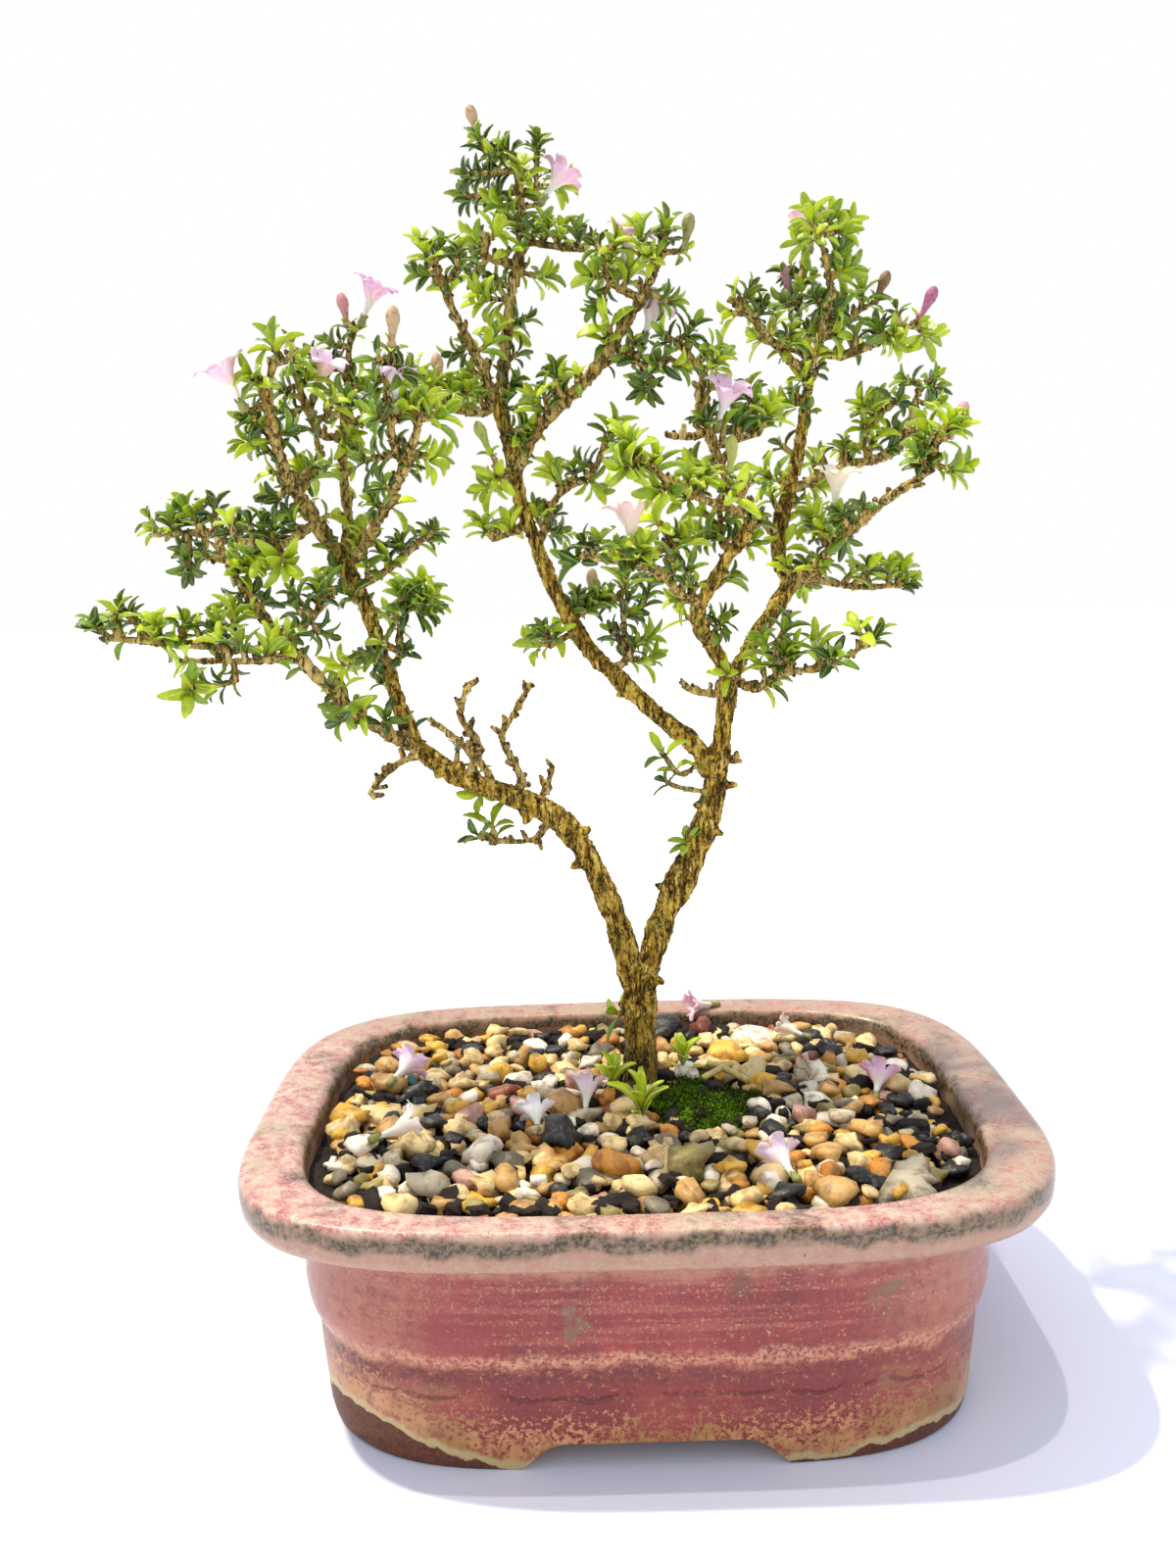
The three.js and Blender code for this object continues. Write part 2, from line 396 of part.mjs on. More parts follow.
// A turned trumpet with five pointed lobes, standing on its foot at the origin.
function trumpet(scale) {
  const profile = [[0, 0], [1.7, 6.2], [5.2, 7.1], [1, 7.1], [0, 5.2]];
  const lobes = 5;
  const geometry = weld(turned(profile, 2 * lobes));
  const position = geometry.attributes.position;
  for (let i = 0; i < position.count; i += 1) {
    const radius = Math.hypot(position.getX(i), position.getY(i));
    const step = Math.round(Math.atan2(position.getY(i), position.getX(i)) / (Math.PI / lobes));
    if (radius > 4 && Math.abs(step) % 2 === 1) {
      position.setX(i, position.getX(i) * 0.48);
      position.setY(i, position.getY(i) * 0.48);
      position.setZ(i, position.getZ(i) + 0.3);
    }
  }
  geometry.scale(scale, scale, scale);
  return geometry;
}

// A closed bud: a slim stalk that swells to a club.
const budGeometry = () => weld(turned([[0, 0], [0.55, 0], [1.35, 5.4], [0, 7.9]], 5));

function standOn(geometry, foot, facing) {
  const turn = new THREE.Quaternion().setFromUnitVectors(new THREE.Vector3(0, 0, 1), facing);
  geometry.applyMatrix4(new THREE.Matrix4().makeRotationFromQuaternion(turn).setPosition(foot));
  return geometry;
}

// A facing written as [across, up, back] as a direction in space.
const facingVector = ([across, up, back]) => new THREE.Vector3(across, back, up).normalize();

// The assembly

const plant = new THREE.Group();
const standing = [];

function boxOf(solid) {
  const { min, max } = solid.boundingBox();
  return new THREE.Box3(new THREE.Vector3(...min), new THREE.Vector3(...max));
}

// Remembers a solid that belongs to the piece `name`, so that later pieces keep clear of it.
function occupy(name, solid, isLeaf = false) {
  standing.push({ name, solid, isLeaf, box: boxOf(solid) });
}

// True where a solid meets nothing of the other pieces, nor, if so asked, the leaves of its own.
function isClear(name, solid, alsoOwnLeaves = false) {
  const box = boxOf(solid);
  return standing.every((other) => (other.name === name && !(alsoOwnLeaves && other.isLeaf))
    || !other.box.intersectsBox(box) || solid.intersect(other.solid).isEmpty());
}

function addPiece(name, solid, colour, roughness = 0.7) {
  const material = new THREE.MeshStandardMaterial({ color: colour, roughness, metalness: 0 });
  const mesh = new THREE.Mesh(toGeometry(solid), material);
  mesh.name = name;
  plant.add(mesh);
  occupy(name, solid);
}

// Lowers a geometry until it is about to touch what lies under it.
function settled(geometry) {
  let resting = toSolid(geometry);
  for (let drop = 0; drop < 90; drop += 1) {
    const lower = toSolid(geometry.translate(0, 0, -0.2));
    if (!isClear('', lower)) break;
    resting = lower;
  }
  return resting.translate([0, 0, 0.1]);
}

// Pot

const outside = [[0, 0], [66.8, 0], [67.3, 6], [68.1, 16], [68.4, 21], [69.6, 24.5], [70.3, 29], [70, 33],
  [69.3, 38.5], [70, 42], [81.2, 43.2], [82.5, 46], [82.5, 49.6], [81.2, 51.2], [79.4, 51.4], [72, 51], [0, 51]];
const cavity = [[0, FLOOR_TOP], [60.5, FLOOR_TOP], [63, 15], [63.8, 36], [69.4, 44], [OPENING_HALF_LENGTH, 46],
  [69.9, 49.6], [71.2, 50.9], [71.6, 60], [0, 60]];
const recess = [[0, -10], [61, -10], [60, 0], [59, UNDERSIDE], [0, UNDERSIDE]];
const frontArch = toSolid(archBar(FRONT_ARCH_HALF, 3 * RIM_HALF_DEPTH));
const sideArch = toSolid(archBar(SIDE_ARCH_HALF, 3 * RIM_HALF_LENGTH).rotateZ(Math.PI / 2));
let pot = squaredLathe(outside, outerHalfDepth).subtract(squaredLathe(cavity)).subtract(squaredLathe(recess));
pot = pot.subtract(frontArch).subtract(sideArch);
for (const side of [-1, 1]) {
  const hole = new THREE.CylinderGeometry(DRAIN_RADIUS, DRAIN_RADIUS, 30, 12);
  hole.rotateX(Math.PI / 2);
  hole.translate(side * DRAIN_OFFSET, 0, 8);
  pot = pot.subtract(toSolid(hole));
}
addPiece('pot', pot, COLOURS.glaze, 0.25);

// Drain screens on the pot's floor, over the drain holes

function drainScreen(offset) {
  const { half, thickness, hole, pitch } = SCREEN;
  let plate = toSolid(new THREE.BoxGeometry(2 * half, 2 * half, thickness));
  for (const x of [-0.5, 0.5]) {
    for (const y of [-0.5, 0.5]) {
      const opening = new THREE.BoxGeometry(hole, hole, 3 * thickness);
      plate = plate.subtract(toSolid(opening.translate(x * pitch, y * pitch, 0)));
    }
  }
  return plate.translate([offset, 0, FLOOR_TOP + GAP + thickness / 2]);
}

addPiece('drain_screen_left', drainScreen(-DRAIN_OFFSET), COLOURS.screen);
addPiece('drain_screen_right', drainScreen(DRAIN_OFFSET), COLOURS.screen);

// Thick wood as a solid, thickened by `extra` where a clearance is wanted

const toPoints = (rows) => rows.map(([across, up, back]) => place(across, up, back));

function woodTube(rows, sides, extra = 0) {
  const points = toPoints(rows);
  const last = points.length - 1;
  const beyond = (end, inner) => points[end].clone().sub(points[inner]).setLength(extra);
  const [below, above] = [beyond(0, 1), beyond(last, last - 1)];
  points[0].add(below);
  points[last].add(above);
  return taperedTube(points, rows.map(([, , , radius]) => radius + extra), sides);
}

const trunkClearance = woodTube(TRUNK, 9, GAP);

// Soil

const soilProfile = [[0, FLOOR_TOP + GAP], [59.9, FLOOR_TOP + GAP], [62.5, 15.3], [63.3, 36.2], [68.8, SOIL_TOP],
  [0, SOIL_TOP]];
let soil = squaredLathe(soilProfile);
for (const side of [-1, 1]) {
  const width = 2 * (SCREEN.half + GAP);
  const recess = new THREE.BoxGeometry(width, width, 2 * (SCREEN.thickness + 2 * GAP));
  recess.translate(side * DRAIN_OFFSET, 0, FLOOR_TOP + GAP);
  soil = soil.subtract(toSolid(recess));
}
addPiece('soil', soil.subtract(trunkClearance), COLOURS.soil, 0.95);

// Where the gravel shoots stand

function shootPoints(x, y, below) {
  return [new THREE.Vector3(x, y, GRAVEL_TOP - 1.3 - below), new THREE.Vector3(x + 0.4, y, GRAVEL_TOP + 4.8)];
}

const shootHole = ([, x, y]) => taperedTube(shootPoints(x, y, GAP), [0.9, 0.9], 6);

// Gravel: a bed whose top is a lattice of points, every third one raised to a pebble

function mossBody(margin) {
  const geometry = weld(turned([[0, 0], [1, 0], [0.98, 0.35], [0.72, 0.8], [0.35, 1], [0, 1]], 14));
  const position = geometry.attributes.position;
  for (let i = 0; i < position.count; i += 1) {
    const angle = Math.atan2(position.getY(i), position.getX(i));
    const lump = 1 + 0.07 * Math.sin(5 * angle) + 0.05 * Math.cos(3 * angle);
    position.setX(i, MOSS_CENTRE.x + (MOSS_HALF.x * lump + margin) * position.getX(i));
    position.setY(i, MOSS_CENTRE.y + (MOSS_HALF.y * lump + margin) * position.getY(i));
    position.setZ(i, position.getZ(i) * (2.6 + 0.5 * Math.sin(7 * angle) + margin));
  }
  return toSolid(geometry);
}

function gravelBed() {
  const rowStep = PEBBLE_STEP * Math.sqrt(0.75);
  const columns = 36;
  const rows = 22;
  const bed = weld(new THREE.BoxGeometry(columns * PEBBLE_STEP, rows * rowStep, 1, columns, rows, 1));
  const position = bed.attributes.position;
  for (let i = 0; i < position.count; i += 1) {
    const column = Math.round(position.getX(i) / PEBBLE_STEP);
    const row = Math.round(position.getY(i) / rowStep);
    position.setX(i, (column - 0.5 * row) * PEBBLE_STEP);
    if (position.getZ(i) > 0) {
      const raised = (((column + row) % 3) + 3) % 3 === 0;
      position.setX(i, position.getX(i) + between(-0.9, 0.9));
      position.setY(i, position.getY(i) + between(-0.9, 0.9));
      position.setZ(i, GRAVEL_TOP + (raised ? between(0.7, 2.4) : between(-1.6, -0.6)));
    } else {
      position.setZ(i, SOIL_TOP);
    }
  }
  return toSolid(bed);
}

const wall = squaredLathe([[0, SOIL_TOP + GAP], [69.1, SOIL_TOP + GAP], [69.1, 80], [0, 80]]);
const mossSeat = mossBody(1.2 * GAP).scale([1, 1, 5]).translate([0, 0, GRAVEL_TOP - 1]);
const mossBed = squaredLathe([[0, SOIL_TOP + GAP], [40, SOIL_TOP + GAP], [40, GRAVEL_TOP - 1], [0, GRAVEL_TOP - 1]])
  .intersect(mossBody(3).scale([1, 1, 60]));
let gravel = gravelBed().add(mossBed).intersect(wall).subtract(mossSeat).subtract(trunkClearance);
for (const shoot of SHOOTS) gravel = gravel.subtract(shootHole(shoot));
addPiece('gravel', mainBody(gravel), COLOURS.gravel, 0.8);

// Moss: a low cushion with a lumpy edge

const moss = mossBody(0).translate([0, 0, GRAVEL_TOP - 1 + GAP]);
addPiece('moss', SHOOTS.reduce((whole, shoot) => whole.subtract(shootHole(shoot)), moss), COLOURS.moss, 0.95);

// The nearest point on any of some paths, each a list of [across, up, back] rows.
function nearestOnPaths(paths, [across, up]) {
  let best = { distance: Infinity };
  for (const path of paths) {
    for (let i = 1; i < path.length; i += 1) {
      for (let step = 0; step <= 10; step += 1) {
        const row = [0, 1, 2].map((k) => THREE.MathUtils.lerp(path[i - 1][k], path[i][k], step / 10));
        const distance = Math.hypot(row[0] - across, row[1] - up);
        if (distance < best.distance) best = { distance, row };
      }
    }
  }
  return best.row;
}

// The rows of a part from its root. A part with no back of its own leans back or forward by a wave
// over its place, so that the twigs stand on all sides of their branch.
function rootedRows(paths, path) {
  const rows = [nearestOnPaths(paths, path[0])];
  for (const [across, up, back] of path) {
    const previous = rows[rows.length - 1];
    const run = Math.hypot(across - previous[0], up - previous[1]);
    const lean = TWIG_LEAN * Math.sin(1.7 * across + 2.3 * up);
    rows.push([across, up, back ?? previous[2] + lean * run]);
  }
  return rows;
}

// The parts of a branch with their rows: each part starts on the branch's limbs and stems so far.
function grow(parts, startPaths, ownPaths = []) {
  const own = [...ownPaths];
  return parts.map((part) => {
    const paths = own.length > 0 ? own : startPaths;
    const rows = part.kind === 'limb' ? part.path : rootedRows(paths, part.path);
    if (part.kind === 'limb' || part.kind === 'stem') own.push(rows);
    return { ...part, rows };
  });
}

// The points of a twig, its foot pushed a little way into the wood that carries it.
function twigPoints(rows) {
  const points = toPoints(rows);
  points[0].add(points[0].clone().sub(points[1]).setLength(0.2));
  return points;
}

// The bare wood of grown parts: limbs, stems and the twigs that carry no leaves.
function woodOf(grown) {
  const radii = (count, root) => Array.from({ length: count },
    (_, i) => THREE.MathUtils.lerp(root, TWIG_RADIUS, i / (count - 1)));
  return grown.filter(({ kind }) => kind !== 'old' && kind !== 'young').map(({ kind, rows }) => {
    if (kind === 'limb') return woodTube(rows, 4);
    return taperedTube(twigPoints(rows), radii(rows.length, kind === 'stem' ? 0.85 : FOOT_RADIUS), 4);
  });
}

// Thick wood first, then every branch's own wood, the open flowers, and last the leaves

const thickPaths = [TRUNK, ...LIMBS];
const trunkParts = [woodTube(TRUNK, 9), ...LIMBS.map((rows) => woodTube(rows, 5))];
const clearances = [{ owner: 'trunk_and_limbs', solid: trunkClearance },
  ...LIMBS.map((rows) => ({ owner: 'trunk_and_limbs', solid: woodTube(rows, 5, GAP) }))];
for (const [name, ...parts] of BRANCHES) {
  for (const { kind, path } of parts) {
    if (kind === 'limb') {
      thickPaths.push(path);
      clearances.push({ owner: name, solid: woodTube(path, 4, GAP) });
    }
  }
}
const trunkGrown = grow(TRUNK_GROWTH, thickPaths, [TRUNK, ...LIMBS]);
const plants = [{ name: 'trunk_and_limbs', grown: trunkGrown, wood: join([...trunkParts, ...woodOf(trunkGrown)]) }];
for (const [name, ...parts] of BRANCHES) {
  const grown = grow(parts, thickPaths);
  plants.push({ name, grown, wood: join(woodOf(grown)) });
}
for (const plantPart of plants) {
  for (const { owner, solid } of clearances) {
    if (owner !== plantPart.name && plantPart.name !== 'trunk_and_limbs') {
      plantPart.wood = plantPart.wood.subtract(solid);
    }
  }
  plantPart.wood = mainBody(plantPart.wood);
  occupy(plantPart.name, plantPart.wood);
}

// Open flowers on their twigs

for (const { grown } of plants) {
  for (const { kind, name, facing, rows } of grown) {
    if (kind === 'bloom') {
      const [tip] = toPoints(rows.slice(-1));
      const direction = facingVector(facing);
      const foot = tip.clone().addScaledVector(direction, TWIG_RADIUS + GAP);
      addPiece(name, toSolid(standOn(trumpet(1), foot, direction)), COLOURS.petal);
    }
  }
}

// Buds, and leaves wherever they keep clear of the other branches

for (const { name, grown, wood } of plants) {
  const solids = [wood];
  for (const { kind, facing, rows } of grown) {
    const points = twigPoints(rows);
    if (kind === 'bud') {
      const direction = facingVector(facing);
      const foot = points[points.length - 1].clone().addScaledVector(direction, -0.4);
      solids.push(toSolid(standOn(budGeometry(), foot, direction)));
    }
    if (kind === 'old' || kind === 'young') {
      const size = kind === 'young' ? YOUNG_LEAF : OLD_LEAF;
      const firstTurn = between(0, Math.PI);
      const tries = [[1.05, 0], [1, 0.4], [1, 0.8], [0.9, 0], [0.85, 0.5], [0.85, 1], [0.75, 0.2], [0.7, 0.7]];
      const looks = tries.map(([stretch, turn]) => ({
        count: size.count, length: size.length * stretch, width: size.width, turn: firstTurn + turn,
      }));
      const [root, tip] = points.slice(-2);
      const neck = [root.clone().lerp(tip, 0.6), tip];
      const look = looks.find((candidate) => isClear(name, tuft(neck, candidate, GAP), true)
        && isClear(name, tuft(points, candidate, GAP)));
      if (look) {
        solids.push(tuft(points, look));
        occupy(name, solids[solids.length - 1], true);
      }
    }
  }
  const whole = join(solids);
  addPiece(name, mainBody(whole), name === 'trunk_and_limbs' ? COLOURS.bark : COLOURS.leaf, 0.9);
}

// Shoots in the gravel

for (const [name, x, y, count, length] of SHOOTS) {
  addPiece(name, tuft(shootPoints(x, y, 0), { count, length, width: 2.4, turn: 0.4 }), COLOURS.leaf);
}

// What lies on the surface: fine rootlets, a curled dead leaf and the fallen flowers

const strands = ROOTLETS.map((rows) => taperedTube(
  rows.map(([across, back, height]) => new THREE.Vector3(across, back, GRAVEL_TOP + 8 + height)),
  rows.map(() => 0.55), 4));
addPiece('surface_rootlets', settled(toGeometry(join(strands))), COLOURS.root);

const withered = weld(new THREE.OctahedronGeometry(1, 1));
withered.scale(4.6, 1.9, 0.45);
const witheredCorners = withered.attributes.position;
for (let i = 0; i < witheredCorners.count; i += 1) {
  const [x, y] = [witheredCorners.getX(i), witheredCorners.getY(i)];
  witheredCorners.setZ(i, witheredCorners.getZ(i) + 0.09 * x * x + 0.25 * y * y);
}
withered.rotateZ(0.7);
withered.translate(-11.5, 15.5, 58);
addPiece('withered_leaf', settled(withered), COLOURS.withered);

for (const [name, x, y, turn, tilt, scale] of FALLEN) {
  const flower = trumpet(scale);
  flower.rotateY(THREE.MathUtils.degToRad(tilt));
  flower.rotateZ(THREE.MathUtils.degToRad(turn));
  flower.translate(x, y, 59);
  addPiece(name, settled(flower), COLOURS.cream);
}

// Stand the middle of the plant's base at the origin

const bounds = new THREE.Box3().setFromObject(plant);
const middle = bounds.getCenter(new THREE.Vector3());
plant.position.set(-middle.x, -middle.y, -bounds.min.z);
plant.updateMatrixWorld(true);

export default plant;
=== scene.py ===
"""Looks of a potted kyoto serissa bonsai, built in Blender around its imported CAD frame.

Sizes are in millimetres from the middle of the pot's foot until a piece is finished. A piece is
then moved into the frame's own metres. A class stands for each sub-assembly, and each finish is
a small frozen dataclass that paints its own material.
"""

import logging
import math
import random
from collections.abc import Sequence
from dataclasses import dataclass, field
from enum import Enum

import bmesh
import bpy
from mathutils import Matrix, Vector, noise


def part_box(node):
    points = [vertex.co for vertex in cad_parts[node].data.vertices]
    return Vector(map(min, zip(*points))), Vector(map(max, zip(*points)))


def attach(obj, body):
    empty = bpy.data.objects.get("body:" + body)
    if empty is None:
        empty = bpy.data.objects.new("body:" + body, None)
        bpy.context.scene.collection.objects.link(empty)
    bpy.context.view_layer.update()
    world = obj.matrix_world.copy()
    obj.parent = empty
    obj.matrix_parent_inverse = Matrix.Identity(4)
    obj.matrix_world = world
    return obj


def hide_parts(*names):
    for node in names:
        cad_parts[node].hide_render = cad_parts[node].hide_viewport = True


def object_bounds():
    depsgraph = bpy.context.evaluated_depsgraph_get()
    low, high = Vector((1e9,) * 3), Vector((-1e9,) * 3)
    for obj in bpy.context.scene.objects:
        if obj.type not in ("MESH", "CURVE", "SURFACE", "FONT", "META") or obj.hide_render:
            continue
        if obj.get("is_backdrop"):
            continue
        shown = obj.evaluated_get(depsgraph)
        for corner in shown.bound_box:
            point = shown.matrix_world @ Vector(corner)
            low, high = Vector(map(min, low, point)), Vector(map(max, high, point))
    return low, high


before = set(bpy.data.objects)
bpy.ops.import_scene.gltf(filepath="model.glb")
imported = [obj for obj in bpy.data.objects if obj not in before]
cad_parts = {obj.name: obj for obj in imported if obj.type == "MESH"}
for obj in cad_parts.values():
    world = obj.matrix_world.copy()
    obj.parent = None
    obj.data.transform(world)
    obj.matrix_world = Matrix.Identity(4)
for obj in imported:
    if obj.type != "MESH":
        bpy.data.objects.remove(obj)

Row = tuple[float, ...]
Path = tuple[Row, ...]
Colour = tuple[float, float, float, float]
Socket = bpy.types.NodeSocket
Stop = tuple[float, str]
# A piece of wood: points of three places and a radius
Course = list[Vector]

BOX_LOW, BOX_HIGH = (Vector([float(value) for value in corner]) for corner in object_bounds())
POT_LOW, POT_HIGH = (Vector(corner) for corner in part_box("pot"))
SHIFT = Vector(((POT_LOW.x + POT_HIGH.x) / 2, (POT_LOW.y + POT_HIGH.y) / 2, 0))
TO_ROW_FRAME = Matrix.Translation(SHIFT) @ Matrix.Diagonal((0.001, 0.001, 0.001, 1))
UP = Vector((0, 0, 1))
# The camera's place, the trunk's distance behind the pot's middle, and how far the crown is drawn out in depth
EYE = Vector((-10, -278, 171))
TREE_PLANE = 15.0
TRUNK_X = 1.0
CROWN_DEPTH = 1.6
TWIG_LEAN = 0.55
GRAVEL_TOP = 46.6
# The power that rounds the corners of the pot's plan
ROUNDNESS = 4
# What the finishes always set on a kind of node
USUAL = {"MapRange": {"interpolation_type": "SMOOTHSTEP"}, "Mix": {"data_type": "RGBA"}}
UNMOVED = (0, 0, 0)


# Colours and shader nodes


def linear(code: str) -> Colour:
    """Turn an sRGB hex code into the linear colour that shaders take.

    Args:
        code: Six hex digits after a hash sign.

    Returns:
        Linear red, green and blue, and an alpha of 1.
    """
    shades = (int(code[i:i + 2], 16) / 255 for i in (1, 3, 5))
    red, green, blue = (s / 12.92 if s <= 0.04045 else ((s + 0.055) / 1.055) ** 2.4 for s in shades)
    return (red, green, blue, 1.0)


def per_mm(size: float) -> float:
    """Return the pattern scale at which a pattern on metres repeats once in so many millimetres."""
    return 1000 / size


@dataclass(frozen=True)
class Paint:
    """The shader nodes of one finish in the making. A colour is a hex code, four numbers or a socket."""

    tree: bpy.types.NodeTree

    def put(self, entry: Socket, value: object) -> None:
        """Link a socket to an input, or set the input's own value.

        Args:
            entry: The input.
            value: A socket, a number, a vector or a colour.
        """
        if isinstance(value, Socket):
            self.tree.links.new(value, entry)
        else:
            entry.default_value = linear(value) if isinstance(value, str) else value

    def add(self, kind: str, *values: object, output: str = "", named: dict | None = None,
            stops: Sequence[Stop] = (), **settings: object) -> Socket:
        """Add one shader node with its settings and what goes into it.

        Args:
            kind: The node's type, without the word ShaderNode.
            *values: What goes into its inputs, in order.
            output: The output that is wanted, if it isn't the first.
            named: What goes into inputs by name.
            stops: A ramp's places from 0 to 1, each with its hex colour.
            **settings: Properties of the node.

        Returns:
            The output's socket.
        """
        made = self.tree.nodes.new("ShaderNode" + kind)
        for key, value in {**USUAL.get(kind, {}), **settings}.items():
            setattr(made, key, value)
        for entry, value in zip((entry for entry in made.inputs if entry.enabled), values):
            self.put(entry, value)
        for key, value in (named or {}).items():
            self.put(made.inputs[key], value)
        while len(stops) > len(made.color_ramp.elements if stops else ()):
            made.color_ramp.elements.new(0.5)
        for element, (position, code) in zip(made.color_ramp.elements if stops else (), stops):
            element.position, element.color = position, linear(code)
        return made.outputs[output] if output else next(result for result in made.outputs if result.enabled)

    def share(self, *masks: object) -> object:
        """Multiply some shares.

        Args:
            *masks: Each a number or a socket, or else a pattern with the two numbers between which it goes
                smoothly from 0 to 1, or from the third to the fourth number if it has four.

        Returns:
            The product.
        """
        parts = [self.add("MapRange", *mask) if isinstance(mask, tuple) else mask for mask in masks]
        product = parts[0]
        for part in parts[1:]:
            product = self.add("Math", product, part, operation="MULTIPLY")
        return product

    def layered(self, body: Socket, *layers: tuple, blend: str = "MIX") -> Socket:
        """Lay colours over one another, each where its patterns say.

        Args:
            body: The colour under them.
            *layers: Each a colour and its masks.
            blend: Blender's name for the way of mixing.

        Returns:
            The colour's socket.
        """
        for colour, *masks in layers:
            body = self.add("Mix", self.share(*masks), body, colour, blend_type=blend)
        return body

    def surface(self, colour: Socket, roughness: object, relief: tuple[Socket, float, float] | None = None,
                own: dict[str, float] | None = None) -> None:
        """Give the shader what it shows.

        Args:
            colour: The colour's socket.
            roughness: The roughness.
            relief: A height from 0 to 1, the millimetres that 1 stands for, and the effect's strength.
            own: More of the shader's own values, by input name.
        """
        shader = self.tree.nodes["Principled BSDF"]
        for name, value in {"Base Color": colour, "Roughness": roughness, **(own or {})}.items():
            self.put(shader.inputs[name], value)
        if relief:
            height, depth, strength = relief
            named = {"Height": height, "Distance": depth / 1000, "Strength": strength}
            self.put(shader.inputs["Normal"], self.add("Bump", named=named))


@dataclass(frozen=True)
class Finish:
    """A finish on the object, as a material of shader nodes on Object coordinates."""

    name: str = "finish"

    def cover(self, paint: Paint) -> None:
        """Put the finish's nodes into its material, which each finish does in its own way."""
        raise NotImplementedError(self.name)

    def material(self) -> bpy.types.Material:
        """Return the material, painted when it is first asked for.

        Returns:
            The material.
        """
        made = bpy.data.materials.get(self.name)
        if made is None:
            made = bpy.data.materials.new(self.name)
            made.use_nodes = True
            self.cover(Paint(made.node_tree))
        return made


# Finishes


@dataclass(frozen=True)
class RaspberryGlaze(Finish):
    """Thick raspberry glaze on brown stoneware, pale where it breaks on edges and corners. The feet are bare."""

    name: str = "raspberry_glaze"
    left_clay: float = 8.0
    right_clay: float = 3.4
    groove: Row = (15.4, 15.9, 0.45)
    rust: Row = (18.2, 21.4, 1.0)
    ridge: Row = (21.8, 24.4, 1.5)
    under_rim: Row = (39.5, 44, 1.6)
    rim_side: Row = (43.0, 50.4, 0.7)
    rim_wear: Row = (46.9, 50.2, 0.9)
    stains: tuple[tuple[Row, float, str], ...] = (
        ((-15.5, -56, 32), 3.6, "#8f8468"), ((-13.5, -56, 28.8), 2.6, "#857c5c"),
        ((15.9, -56, 37.2), 2.4, "#7c5b42"), ((43, -54, 34), 3.0, "#8d7f62"), ((44.5, -54, 16.8), 3.4, "#8f8a52"),
        ((-41, -54, 17), 4.0, "#93804f"), ((-5.9, -56, 25.6), 2.2, "#b23038"), ((-40, -56, 30), 5, "#9c3446"),
        ((62, -30, 8), 8, "#a9a561"))

    def band(self, level: Socket, low: float, high: float, soft: float) -> tuple[tuple, tuple]:
        """Return the two masks that pick out a band of heights with soft ends, in millimetres."""
        return ((level, (low - soft) / 1000, (low + soft) / 1000),
                (level, (high + soft) / 1000, (high - soft) / 1000))

    def clay_height(self, paint: Paint, across: Socket, back: Socket) -> Socket:
        """Work out how high the bare clay reaches: nothing beside the arches, most at the corners.

        Args:
            paint: The material's nodes.
            across: The coordinate to the right.
            back: The coordinate to the back.

        Returns:
            The height, in metres.
        """
        beside, behind = (paint.add("Math", axis, operation="ABSOLUTE") for axis in (across, back))
        corner = paint.add("Math", paint.share((beside, 0.027, 0.056)), paint.share((behind, 0.018, 0.042)),
                           operation="MINIMUM")
        return paint.share(corner, (across, -0.02, 0.02, self.left_clay / 1000, self.right_clay / 1000))

    def cover(self, paint: Paint) -> None:
        """Paint the walls from the ground colour up, then the rim, and last the bare clay.

        Args:
            paint: The material's nodes.
        """
        place = paint.add("Mapping", paint.add("TexCoord", output="Object"), -SHIFT)
        across, back, height = (paint.add("SeparateXYZ", place, output=axis) for axis in "XYZ")
        # Brush streaks run round the walls, so their pattern is drawn out flat
        drawn_out = paint.add("Mapping", place, UNMOVED, UNMOVED, (0.12, 0.12, 2.6))
        streaks = paint.add("TexNoise", drawn_out, per_mm(4), 5, 0.6)
        clouds, mottle, speckle, dust, pits, wander = (
            paint.add("TexNoise", place, per_mm(size), detail, rough) for size, detail, rough in (
                (17, 5, 0.6), (2.6, 5, 0.68), (0.9, 3, 0.7), (0.55, 2, 0.6), (0.75, 2, 0.5), (11, 4, 0.6)))
        level = paint.add("Math", height, paint.share((wander, 0.2, 0.8, -0.0016, 0.0016)), operation="ADD")
        # Pale where the glaze is thin: under the rim and down the corners
        beside, behind = (paint.add("Math", axis, operation="ABSOLUTE") for axis in (across, back))
        thin = paint.add("Math", paint.share((paint.share(beside, behind), 0.0019, 0.0029, 0, 0.8)),
                         paint.share(*self.band(level, *self.under_rim)), operation="MAXIMUM")
        # Fine dust of paler crystals lies all over. Low down it is deeper and redder, most of all on the left.
        body = paint.layered(
            paint.add("ValToRGB", clouds,
                      stops=((0.28, "#6f141d"), (0.44, "#8b232f"), (0.58, "#9c3440"), (0.76, "#ac5355"))),
            ("#b2504d", (mottle, 0.38, 0.66, 0, 0.45)), ("#bd776a", (streaks, 0.47, 0.66, 0, 0.5)),
            ("#6f2329", (mottle, 0.4, 0.24, 0, 0.55)),
            ("#e4bea4", (dust, 0.54, 0.66, 0, 0.6), (streaks, 0.42, 0.6, 0.12, 1)),
            ("#82161f", (level, 0.022, 0.019), (clouds, 0.64, 0.42, 0.25, 0.85)),
            ("#c6a08a", thin, (mottle, 0.3, 0.62, 0.3, 0.95)))
        for at, reach, code in self.stains:
            distance = paint.add("VectorMath", place, Vector(at) / 1000, operation="DISTANCE", output="Value")
            ragged = paint.add("Math", distance, paint.share((mottle, 0.34, 0.62, 0.0028, -0.0022)),
                               operation="ADD")
            body = paint.layered(body, (code, (ragged, reach / 1000, 0.2 * reach / 1000, 0, 0.75)))
